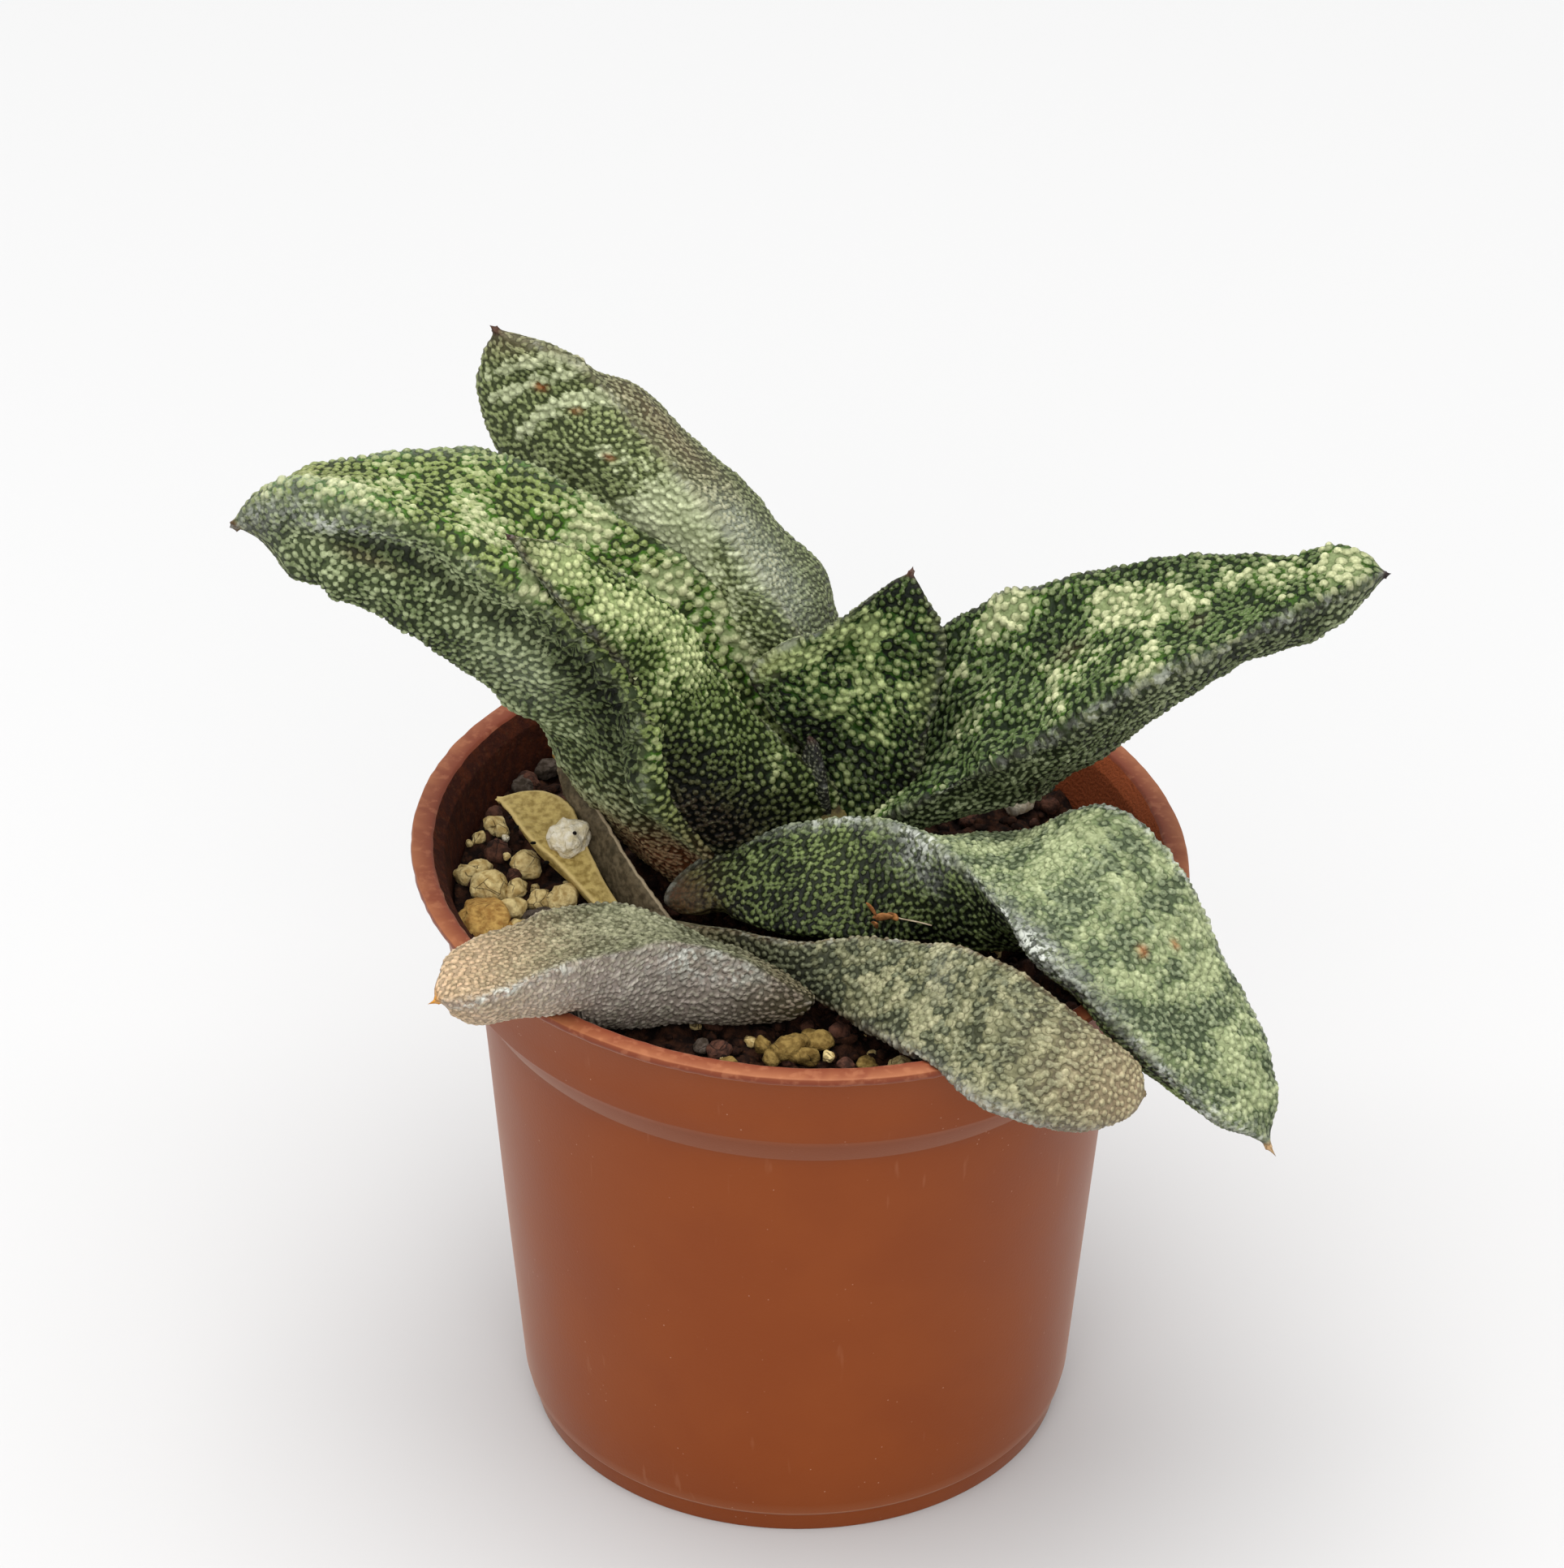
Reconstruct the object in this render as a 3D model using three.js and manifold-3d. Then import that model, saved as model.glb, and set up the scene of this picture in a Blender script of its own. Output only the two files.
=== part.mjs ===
// Gasteria in a small plastic pot, at real size in millimetres.
// Frame: origin at the centre of the pot's base on the table, +Z up, the front of the pot towards -Y.
import * as THREE from "three";
import { mergeVertices } from "three/addons/utils/BufferGeometryUtils.js";
import Module from "manifold-3d";

const wasm = await Module();
wasm.setup();

// ---------------------------------------------------------------- driving sizes
const FIT = 0.28; // clearance between neighbouring pieces
const WART = 0.5; // height of the raised warts on a leaf
const POT_SEGMENTS = 48;
const SOIL_SEGMENTS = 40;
const POT_HEIGHT = 78.9;
const FLOOR = 1.6; // thickness of the pot's floor
const OVAL = 0.03; // the rim is squeezed slightly out of round
const OVAL_AXIS = THREE.MathUtils.degToRad(-50); // direction of the long axis of the rim
const OVAL_FROM = 20; // height where the squeeze starts
const DRAIN_RADIUS = 3.2;
const DRAIN_CIRCLE = 20;
const DRAIN_COUNT = 6;
const SOIL_LEVEL = 70.4;
const SOIL_RADIUS = 42.2; // at the surface
const SOIL_LUMP = 0.45; // height of the lumps in its surface
const STEM = { x: 3, y: 4, root: 52, radius: 5.6, sides: 18 };

// Outside and inside of the pot as [radius, height].
const POT_OUTSIDE = [
  [32.7, 0], [32.9, 2.4], [33.6, 3.1], [34.0, 4.8], [38.3, 51.3], [39.3, 61.2], [40.0, 61.9],
  [42.0, 65.0], [43.05, 66.4], [43.5, 69.6], [44.6, 77.0], [47.2, 77.7], [47.5, 78.2],
  [47.4, POT_HEIGHT],
];
const POT_INSIDE = [
  [44.9, POT_HEIGHT], [44.3, 78.5], [43.4, 77.0], [41.9, 66.6], [38.8, 62.2], [38.1, 61.2],
  [37.1, 51.3], [32.8, 5.0], [31.6, FLOOR],
];

// ---------------------------------------------------------------- leaves
// One row per station from base to tip: left margin x, y, z; right margin x, y, z (seen from the base
// with the face up); depth of the keel below the face; keel offset as a share of the half width
// (towards the right margin above zero); depth of the channel in the face.
const LEAVES = {
  leaf_left: {
    colour: "#5f7f4a", rings: 31, around: 26, round: 2.0, edge: 1.6, blunt: 0.9, mucro: 0.6,
    trough: 4,
    stations: [
      [-6, -2, 76, 1, 6, 76, 12, -0.3, 0],
      [-11.5, -5, 81.5, 0, 9, 81.5, 19.5, -0.4, 2],
      [-17, -7.5, 91.5, -2, 12.5, 94, 21, -0.45, 4.5],
      [-19.5, -8, 105.5, -8, 14, 105.5, 22.5, -0.45, 5.5],
      [-27.5, -8, 117, -18.5, 14, 115.5, 19, -0.45, 5],
      [-37, -7, 124, -34, 15.5, 125, 18.5, -0.45, 3.5],
      [-46, -5, 129, -47.5, 16, 125.5, 16, -0.45, 2],
      [-57.5, -1, 129.5, -58.5, 12.5, 124.5, 13, -0.4, 0.5],
      [-64, 3, 126.5, -65, 8, 122.5, 9.5, -0.3, 0],
      [-68, 5, 122, -68, 6, 121.5, 1.5, 0, 0],
    ],
  },
  leaf_back_left: {
    colour: "#6d7c54", rings: 26, around: 20, round: 1.7, edge: 1.0, blunt: 0.9, mucro: 0.8,
    stations: [
      [-3, 10, 72.5, 4, 5, 78, 6, 0.6, 0],
      [-7, 16.5, 72, 5, 8, 88.5, 13, 0.6, 0.5],
      [-14.5, 17, 86, 0.5, 10, 102.5, 15, 0.6, 0.5],
      [-22.5, 20.5, 98.5, -6, 13, 112, 14, 0.6, 0],
      [-30.5, 23.5, 109, -13, 16, 120, 12.5, 0.6, -0.5],
      [-36.5, 27, 118.5, -19.5, 20, 126.5, 10, 0.6, -1],
      [-39, 28, 125.5, -24.5, 22.5, 131.5, 6, 0.5, -0.5],
      [-38.5, 28, 131.5, -30, 24, 135.5, 3, 0.3, -0.5],
      [-37.5, 27, 136, -37, 26, 136.5, 1.2, 0, 0],
    ],
  },
  leaf_left_inner: {
    colour: "#7d7a4c", rings: 20, around: 18, round: 1.6, edge: 0.9, blunt: 0.9, mucro: 0.9,
    stations: [
      [-5, -1.5, 78.5, 3, 3, 79.5, 2.5, 0, 0],
      [-11, -5, 82.5, 4.5, 3, 85, 4.5, -0.1, -0.5],
      [-14.5, -7, 88, 1, 1.5, 90.5, 5.5, -0.1, -1],
      [-17.5, -8.5, 100, -7.5, 2.5, 100, 5.5, -0.1, -1.2],
      [-21.5, -9.5, 112.5, -15.5, 1, 112.5, 5.5, -0.1, -1.2],
      [-27, -10, 119.5, -22, -2.5, 120, 5, -0.1, -0.8],
      [-31, -9.5, 124.5, -27, -5, 125.5, 3.5, -0.1, -0.4],
      [-34.5, -9.5, 130, -34, -8.5, 129.5, 1.2, 0, 0],
    ],
  },
  leaf_right: {
    colour: "#4f7549", rings: 27, around: 22, round: 1.6, edge: 0.9, blunt: 0.93, mucro: 0.8,
    stations: [
      [6, 8, 78, 7, 0, 78, 5, 0.1, 0],
      [12.5, 17, 86.5, 10, -3, 85, 7, 0.1, 3],
      [17.5, 17.5, 100, 19, -5, 92, 19, 0.1, 3],
      [28.5, 17.5, 105.5, 29.5, -7, 100, 14.5, 0.1, 2],
      [39, 16.5, 110, 40, -7.5, 107.5, 11.3, 0.1, 1],
      [49, 14, 113, 49.5, -6, 112, 8.8, 0.1, 0.4],
      [59, 11, 115, 59.5, -2, 115, 7, 0.1, 0],
      [66.5, 8.5, 116.5, 66.5, 2, 116, 4.2, 0.1, 0],
      [70, 5.5, 116, 70, 4.5, 116.5, 1.2, 0, 0],
    ],
  },
  leaf_heart: {
    colour: "#4c6f3f", rings: 20, around: 18, round: 1.7, edge: 0.7, blunt: 0.9, mucro: 0.6,
    stations: [
      [4, 3, 76, 9, 2, 76, 3, 0, 0],
      [4.5, 3, 81.5, 12.5, 1, 83, 5, 0, 0.3],
      [2, 5, 88.5, 14, 2, 89, 6, 0, 1],
      [-4, 5, 96, 16, 3, 97.5, 7, 0, 2.5],
      [-5.5, 6, 101.5, 17, 5, 103.5, 7, 0, 2],
      [3.5, 7, 106.5, 16.5, 6.5, 107.5, 5, 0, 0.8],
      [9.5, 8, 111.5, 15, 7.5, 110.5, 3, 0, 0.2],
      [13, 9, 113.5, 13.5, 9, 113.5, 1.2, 0, 0],
    ],
  },
  leaf_bud: {
    colour: "#3d4635", rings: 10, around: 10, round: 1.7, edge: 0.4, blunt: 0.95, mucro: 0.5,
    stations: [
      [0, 3, 81.5, 4, 2, 82, 2.5, 0, 0],
      [0, 1.5, 86, 3.5, 0.5, 86, 2.2, 0, 0],
      [0, 1.5, 90, 3, 0.5, 90, 2, 0, 0],
      [0.5, 2, 92.5, 2, 1, 93, 1.5, 0, 0],
      [1, 2, 94, 1.3, 2, 94, 1, 0, 0],
    ],
  },
  leaf_front_right: {
    colour: "#8ea368", rings: 35, around: 26, round: 1.6, edge: 0.9, blunt: 0.92, mucro: 1.4,
    stations: [
      [-14.5, -6, 74, -17, -8, 77, 4, 0.5, 0],
      [-9.5, -3, 74.5, -12.5, -4.5, 80, 9, 0.5, 0],
      [-3, -1.5, 76, -5.5, -4, 84, 13.5, 0.6, 0],
      [5.5, -1.5, 77.5, 3.5, -5.5, 87, 15, 0.6, 0.5],
      [17, 0, 80, 12, -9.5, 88.5, 13, 0.5, 1],
      [28, -4, 84.5, 20, -18.5, 88.5, 11, 0.4, 1],
      [37.5, -9.5, 92, 26.5, -30.5, 87, 9.5, 0.2, 1],
      [45.5, -16, 86.5, 34, -36, 83, 8.5, 0.1, 0.5],
      [53, -22, 74, 42, -39.5, 76, 8, 0.1, 0],
      [56.5, -29.5, 67.5, 48.5, -39, 68, 5, 0, -0.4],
      [56.5, -35, 60.5, 56.5, -36, 61, 1.2, 0, 0],
    ],
  },
  leaf_front: {
    colour: "#9c9a66", rings: 28, around: 22, round: 1.7, edge: 0.9, blunt: 0.95, mucro: 0.3,
    stations: [
      [-19, -11.5, 76, -15, -13.5, 74, 3, 0, 0],
      [-9.5, -15.5, 78, -7.5, -18.5, 75, 5, 0, 0],
      [0, -21, 80, 0, -25, 75.5, 6, 0, 0.3],
      [9, -22.5, 82, 8, -33.5, 76.5, 7, 0, 0],
      [18, -28.5, 84.5, 15, -44.5, 79, 5, 0, 0],
      [26.5, -36.5, 86, 22, -51.5, 78, 6, 0, -0.5],
      [34.5, -41, 82, 30, -51.5, 75, 6.5, 0, -0.8],
      [39.5, -40, 76, 37.5, -46.5, 72, 5, 0, -0.6],
      [41, -41, 73, 41, -42, 72.5, 2, 0, 0],
    ],
  },
  leaf_front_left: {
    colour: "#8b8f7c", rings: 26, around: 22, round: 1.7, edge: 0.9, blunt: 0.92, mucro: 1.2,
    stations: [
      [3, -29.5, 76, -2.5, -18.5, 75, 4, 0, 0],
      [-4.5, -28, 80, -10, -18, 77.5, 8, -0.2, 0.5],
      [-13, -28, 84, -18, -14.5, 79, 11.5, -0.2, 1],
      [-22, -33.5, 86.5, -25.5, -15.5, 81.5, 11.5, -0.2, 1],
      [-30, -38.5, 87, -33.5, -22.5, 83.5, 7.5, -0.2, 0.5],
      [-37, -42, 86, -40.5, -29.5, 84.5, 6, 0, 0],
      [-41, -41.5, 85, -42.5, -36, 85, 3.2, 0, 0],
      [-42.7, -40, 84.5, -43, -39, 84.2, 1, 0, 0],
    ],
  },
  dry_leaf: {
    colour: "#c9bb86", rings: 14, around: 14, round: 1.5, edge: 0.4, blunt: 0.9, mucro: 0.4, wart: 0,
    stations: [
      [-23.5, -7, 73, -21.5, -4.5, 73, 1.4, -0.2, 0],
      [-27.5, -2.5, 75.5, -23.5, -2, 75, 3, -0.3, 0.6],
      [-30.5, 0, 76.5, -25, 1, 76.5, 3.6, -0.3, 1],
      [-32.5, 3, 77, -27, 5, 78, 3.6, -0.3, 1.2],
      [-34.5, 6, 77.5, -28.5, 9, 79, 3, -0.3, 1],
      [-35.5, 8.5, 78, -32, 12, 79, 2, -0.2, 0.4],
      [-37, 11.5, 78, -37, 12.3, 78.2, 0.8, 0, 0],
    ],
  },
};

const CROWDING = 1.35; // above one, the rings crowd together towards the tip
const SMALLEST = 0.8; // width and depth that a tip keeps
const FULL_WART_WIDTH = 11; // narrower stretches of a leaf have lower warts

/** Point on a smooth curve through the rows at share t of its length. */
function curveRow(rows, t) {
  const span = rows.length - 1;
  const x = THREE.MathUtils.clamp(t, 0, 1) * span;
  const i = Math.min(Math.floor(x), span - 1);
  const f = x - i;
  const b = rows[i];
  const c = rows[i + 1];
  const a = i > 0 ? rows[i - 1] : b.map((v, k) => 2 * v - c[k]);
  const d = i < span - 1 ? rows[i + 2] : c.map((v, k) => 2 * v - b[k]);
  return b.map((v, k) => {
    const linear = (c[k] - a[k]) * f;
    const square = (2 * a[k] - 5 * v + 4 * c[k] - d[k]) * f * f;
    const cubic = (3 * v - a[k] - 3 * c[k] + d[k]) * f * f * f;
    return 0.5 * (2 * v + linear + square + cubic);
  });
}

/** Middle of the leaf's face at share t. */
function spine(rows, t) {
  const r = curveRow(rows, t);
  return new THREE.Vector3((r[0] + r[3]) / 2, (r[1] + r[4]) / 2, (r[2] + r[5]) / 2);
}

/** Closed cross-section of a leaf as [across, up] pairs: right margin, face, left margin, keel. */
function leafSection(width, depth, keel, channel, leaf) {
  const top = leaf.around / 2;
  const lip = Math.min(leaf.edge, 0.12 * width);
  const power = 2 / leaf.round;
  const trough = leaf.trough ?? 2; // higher: flatter bottom and steeper sides of the channel
  const points = [];
  for (let j = 0; j < top; j += 1) {
    const s = Math.cos((Math.PI * j) / top);
    const rise = lip * Math.sqrt(1 - Math.abs(s) ** 6) - channel * (1 - Math.abs(s) ** trough);
    points.push([(s * width) / 2, rise]);
  }
  for (let j = 0; j < top; j += 1) {
    const angle = (Math.PI * j) / top;
    const cos = Math.cos(angle);
    const reach = Math.abs(cos) ** power;
    const x = cos > 0 ? keel - (1 + keel) * reach : keel + (1 - keel) * reach;
    points.push([(x * width) / 2, -depth * Math.max(Math.sin(angle), 0) ** power]);
  }
  return points;
}

/** Rings of points that make the smooth skin of a leaf. */
function leafRings(leaf) {
  const rows = leaf.stations;
  const rings = [];
  for (let i = 0; i < leaf.rings; i += 1) {
    const t = 1 - (1 - i / (leaf.rings - 1)) ** CROWDING;
    const row = curveRow(rows, t);
    const left = new THREE.Vector3(row[0], row[1], row[2]);
    const right = new THREE.Vector3(row[3], row[4], row[5]);
    const along = spine(rows, t + 0.002).sub(spine(rows, t - 0.002)).normalize();
    const across = right.clone().sub(left).normalize();
    const up = across.clone().cross(along).normalize();
    const q = THREE.MathUtils.clamp((t - leaf.blunt) / (1 - leaf.blunt), 0, 1);
    const taper = Math.sqrt(1 - q * q);
    const width = Math.max(left.distanceTo(right) * taper, SMALLEST);
    const depth = Math.max(row[6] * taper, SMALLEST);
    const keel = THREE.MathUtils.clamp(row[7], -0.8, 0.8);
    const channel = row[8] * Math.min(1, width / 8);
    const middle = left.clone().add(right).multiplyScalar(0.5);
    const section = leafSection(width, depth, keel, channel, leaf);
    rings.push({
      along,
      width,
      points: section.map(([x, y]) =>
        middle.clone().addScaledVector(across, x).addScaledVector(up, y)),
    });
  }
  return rings;
}

/** Outward direction of the skin at ring i, point j. */
function skinNormal(rings, i, j) {
  const count = rings[0].points.length;
  const before = rings[Math.max(i - 1, 0)].points[j];
  const after = rings[Math.min(i + 1, rings.length - 1)].points[j];
  const previous = rings[i].points[(j + count - 1) % count];
  const next = rings[i].points[(j + 1) % count];
  return after.clone().sub(before).cross(next.clone().sub(previous)).normalize();
}

/** Solid leaf: rings joined by quads, every second point raised as a wart, swollen by `extra`. */
function leafSolid(leaf, extra = 0) {
  const rings = leafRings(leaf);
  const wart = leaf.wart ?? WART;
  const count = leaf.around;
  const last = rings.length - 1;
  const positions = [];
  rings.forEach((ring, i) => {
    ring.points.forEach((point, j) => {
      const onMargin = j % (count / 2) === 0;
      const raised = (i + j) % 2 === 0 && i > 1 && i < last - 1;
      const height = wart * Math.min(1, ring.width / FULL_WART_WIDTH) * (onMargin ? 0.5 : 1);
      const lift = raised ? height : 0;
      const moved = point.clone().addScaledVector(skinNormal(rings, i, j), lift + extra);
      positions.push(...moved.toArray());
    });
  });
  const centre = (ring) => ring.points
    .reduce((sum, p) => sum.add(p), new THREE.Vector3())
    .divideScalar(count);
  positions.push(...centre(rings[0]).addScaledVector(rings[0].along, -extra).toArray());
  positions.push(...centre(rings[last]).addScaledVector(rings[last].along, leaf.mucro + extra).toArray());
  const base = rings.length * count;
  const indices = [];
  for (let j = 0; j < count; j += 1) {
    const k = (j + 1) % count;
    indices.push(base, k, j);
    indices.push(base + 1, last * count + j, last * count + k);
    for (let i = 0; i < last; i += 1) {
      const a = i * count + j;
      const b = i * count + k;
      indices.push(a, b, b + count, a, b + count, a + count);
    }
  }
  return solidFrom(positions, indices);
}

// ---------------------------------------------------------------- solids
/** Closed solid from points and triangles, turned the right way out. */
function solidFrom(positions, indices) {
  const p = (i) => new THREE.Vector3().fromArray(positions, 3 * i);
  let volume = 0;
  for (let i = 0; i < indices.length; i += 3) {
    volume += p(indices[i]).dot(p(indices[i + 1]).cross(p(indices[i + 2])));
  }
  const triangles = volume < 0 ? indices.slice().reverse() : indices;
  return new wasm.Manifold(new wasm.Mesh({
    numProp: 3,
    vertProperties: Float32Array.from(positions),
    triVerts: Uint32Array.from(triangles),
  }));
}

/** Geometry with only its positions, and its shared vertices merged. */
function weld(geometry) {
  const bare = geometry.clone();
  bare.deleteAttribute("normal");
  bare.deleteAttribute("uv");
  return mergeVertices(bare, 1e-4);
}

/** Closed solid from a three.js geometry whose seams share no vertices. */
function solidFromGeometry(geometry) {
  const merged = weld(geometry);
  const source = merged.index.array;
  const indices = [];
  for (let i = 0; i < source.length; i += 3) {
    const [a, b, c] = [source[i], source[i + 1], source[i + 2]];
    if (a !== b && b !== c && a !== c) {
      indices.push(a, b, c);
    }
  }
  return solidFrom(Array.from(merged.attributes.position.array), indices);
}

/** The largest connected piece of a solid. */
function mainPiece(solid) {
  const pieces = solid.decompose();
  return pieces.reduce((best, piece) => (piece.volume() > best.volume() ? piece : best));
}

/** Turns a radius and an angle into a point of the slightly oval pot at height z. */
function ovalPoint(radius, angle, z) {
  const rise = THREE.MathUtils.smoothstep(z, OVAL_FROM, POT_HEIGHT);
  const along = radius * Math.cos(angle - OVAL_AXIS) * (1 + OVAL * rise);
  const across = radius * Math.sin(angle - OVAL_AXIS) * (1 - OVAL * rise);
  const cos = Math.cos(OVAL_AXIS);
  const sin = Math.sin(OVAL_AXIS);
  return new THREE.Vector3(along * cos - across * sin, along * sin + across * cos, z);
}

/** Applies the oval squeeze to every vertex of a geometry that stands around the Z axis. */
function squeeze(geometry) {
  const position = geometry.attributes.position;
  for (let i = 0; i < position.count; i += 1) {
    const x = position.getX(i);
    const y = position.getY(i);
    const z = position.getZ(i);
    const moved = ovalPoint(Math.hypot(x, y), Math.atan2(y, x), z);
    position.setXYZ(i, moved.x, moved.y, moved.z);
  }
  return geometry;
}

/** Body turned around the Z axis from [radius, height] pairs. */
function turned(profile, segments) {
  const points = profile.map(([r, z]) => new THREE.Vector2(r, z));
  return squeeze(new THREE.LatheGeometry(points, segments).rotateX(Math.PI / 2));
}

/** Upright cylinder between two heights. */
function column(x, y, low, high, radius, segments) {
  const geometry = new THREE.CylinderGeometry(radius, radius, high - low, segments);
  geometry.rotateX(Math.PI / 2);
  geometry.translate(x, y, (low + high) / 2);
  return solidFromGeometry(geometry);
}

// ---------------------------------------------------------------- pot
/** One moulded shell with its foot, flare, collar, lip and drain holes. */
function potSolid() {
  const outline = [[0, 0], ...POT_OUTSIDE, ...POT_INSIDE, [0, FLOOR]];
  let pot = solidFromGeometry(turned(outline, POT_SEGMENTS));
  for (let i = 0; i < DRAIN_COUNT; i += 1) {
    const angle = (2 * Math.PI * (i + 0.5)) / DRAIN_COUNT;
    const x = DRAIN_CIRCLE * Math.cos(angle);
    const y = DRAIN_CIRCLE * Math.sin(angle);
    pot = pot.subtract(column(x, y, -2, FLOOR + 2, DRAIN_RADIUS, 12));
  }
  return pot;
}

/** Ring a little fatter than the rim, which keeps the leaves clear of it. */
function rimClearance() {
  const ring = [
    [42.3, 66.6], [43.1, 66.3], [43.9, 69.5], [45.0, 76.8], [47.4, 77.3], [47.9, 78.0],
    [47.8, POT_HEIGHT + FIT], [44.5, POT_HEIGHT + FIT], [43.9, 78.5], [43.0, 77.0], [41.6, 67.0],
  ];
  return solidFromGeometry(turned([...ring, ring[0]], POT_SEGMENTS));
}

/** Space above the soil where loose grains may lie without touching the wall. */
function insideOfPot() {
  const space = [[0, 66], [41.0, 66], [42.4, 77.0], [42.4, 80], [0, 80]];
  return solidFromGeometry(turned(space, SOIL_SEGMENTS));
}

// ---------------------------------------------------------------- soil
// Loose grains on top of the soil: x, y, height of the middle, radius, squash.
const GRAINS = [
  [-37.5, 15, 71.6, 1.8, 0.9], [-38.5, 6, 71.8, 2.4, 0.8], [-37.5, 1.5, 72.2, 2.8, 0.8],
  [-34.5, -1, 71.8, 2.0, 0.9], [-31.5, -1, 71.6, 2.0, 0.9], [-38, -4, 72.0, 3.8, 0.7],
  [-35.5, -7.5, 71.6, 2.4, 0.8], [-33, 6.5, 72.4, 2.2, 1.0], [-28, -1, 71.6, 2.0, 0.9],
  [-32, -5, 71.8, 2.4, 0.8], [-36.5, 10, 71.4, 1.8, 0.8], [-29, 14, 71.8, 2.2, 0.9],
  [-33.5, 25, 71.6, 2.0, 0.8], [-28, 30, 71.8, 2.6, 0.8], [-27, -9, 71.6, 2.4, 0.8],
  [-22, -8, 72.0, 2.2, 1.0], [-4, -32.5, 72.0, 3.8, 0.75], [0.5, -32.5, 72.0, 3.8, 0.75],
  [3.5, -35, 71.6, 2.0, 0.8], [7.5, -34.5, 71.4, 2.2, 0.8], [-8, -36.5, 71.6, 2.4, 0.8],
  [12, -36, 71.4, 2.4, 0.8], [27, 21, 72.0, 2.2, 0.9], [24, 10, 71.6, 2.6, 0.8],
  [33, -2, 71.4, 2.4, 0.8], [17, 27, 71.8, 3.0, 0.8], [8, 32, 71.8, 3.4, 0.7],
  [-8, 36, 71.6, 2.8, 0.8], [-18, 31, 71.6, 3.0, 0.8], [32, 14, 71.6, 2.6, 0.8],
];

const BIG_GRAIN = 3.7; // grains above this radius get finer facets

/** Repeatable value between 0 and 1 from three numbers. */
function hash(a, b, c) {
  const v = Math.sin(a * 12.9898 + b * 78.233 + c * 37.719) * 43758.5453;
  return v - Math.floor(v);
}

/** Rough grain of pumice or bark. */
function grainSolid([x, y, z, radius, squash], number) {
  const detail = radius > BIG_GRAIN ? 1 : 0;
  const merged = weld(new THREE.IcosahedronGeometry(radius, detail));
  const position = merged.attributes.position;
  for (let i = 0; i < position.count; i += 1) {
    const swell = 0.82 + 0.36 * hash(i, number, 1);
    position.setXYZ(i, position.getX(i) * swell, position.getY(i) * swell,
      position.getZ(i) * swell * squash);
  }
  merged.rotateZ(number);
  merged.translate(x, y, z);
  return solidFromGeometry(merged);
}

/** Height of the soil's surface, lumpy by formula. */
function soilHeight(x, y) {
  const lump = Math.sin(x * 0.62 + 1.3) * Math.cos(y * 0.55 - 0.4) + Math.sin(x * 1.1 - y * 0.9);
  return SOIL_LEVEL + SOIL_LUMP * lump;
}

// Rings of the soil's surface, as shares of its radius.
const SOIL_RINGS = [1, 0.82, 0.62, 0.42, 0.2];

/** Filling of the pot: follows the inside wall, with a lumpy top and grains grown into it. */
function soilSolid() {
  const segments = SOIL_SEGMENTS;
  const rings = POT_INSIDE.filter(([, z]) => z < SOIL_LEVEL)
    .map(([r, z]) => ({ r: r - FIT, z: Math.max(z, FLOOR + FIT), top: false }))
    .reverse();
  for (const share of SOIL_RINGS) {
    rings.push({ r: SOIL_RADIUS * share, z: SOIL_LEVEL, top: true });
  }
  const positions = [];
  rings.forEach(({ r, z, top }) => {
    for (let j = 0; j < segments; j += 1) {
      const p = ovalPoint(r, (2 * Math.PI * j) / segments, z);
      positions.push(p.x, p.y, top ? soilHeight(p.x, p.y) : p.z);
    }
  });
  positions.push(0, 0, FLOOR + FIT);
  positions.push(0, 0, soilHeight(0, 0));
  const bottom = rings.length * segments;
  const last = (rings.length - 1) * segments;
  const indices = [];
  for (let j = 0; j < segments; j += 1) {
    const k = (j + 1) % segments;
    indices.push(bottom, k, j, bottom + 1, last + j, last + k);
    for (let i = 0; i < rings.length - 1; i += 1) {
      const a = i * segments + j;
      const b = i * segments + k;
      indices.push(a, b, b + segments, a, b + segments, a + segments);
    }
  }
  const loose = GRAINS.map((grain, n) => grainSolid(grain, n + 1))
    .reduce((body, grain) => body.add(grain));
  return solidFrom(positions, indices).add(loose.intersect(insideOfPot()));
}

// ---------------------------------------------------------------- stem and dry sheath
/** Short stem that tapers upwards from its root in the soil. */
function stemSolid(extra = 0) {
  const { x, y, root, radius } = STEM;
  const profile = [
    [0, root - extra], [radius * 0.7 + extra, root - extra], [radius + extra, 58],
    [radius + 0.4 + extra, 70], [radius - 0.4 + extra, 75.5], [3.6 + extra, 82],
    [1.8 + extra, 84 + extra], [0, 84.4 + extra],
  ];
  const points = profile.map(([r, z]) => new THREE.Vector2(r, z));
  const geometry = new THREE.LatheGeometry(points, STEM.sides).rotateX(Math.PI / 2);
  geometry.translate(x, y, 0);
  return solidFromGeometry(geometry);
}

// Papery remnant of an old leaf base: middle x, y, z and the half height of the strip.
const SHEATH = [
  [-16.5, -7, 72.4, 1.4], [-18.5, -4, 73.8, 1.8], [-21.5, 0, 75.4, 2.0], [-24, 4, 77.0, 2.0],
  [-26.5, 8.5, 79.0, 1.8], [-28.5, 11.5, 81.0, 1.5], [-29.5, 14, 82.6, 0.9],
];
const SHEATH_THICKNESS = 1.1;
const SHEATH_STEPS = 13;
// Corners of its section: side of the strip and share of the half height.
const SHEATH_SECTION = [[1, -1], [1, 0], [1, 1], [-1, 1], [-1, 0], [-1, -1]];

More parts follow.
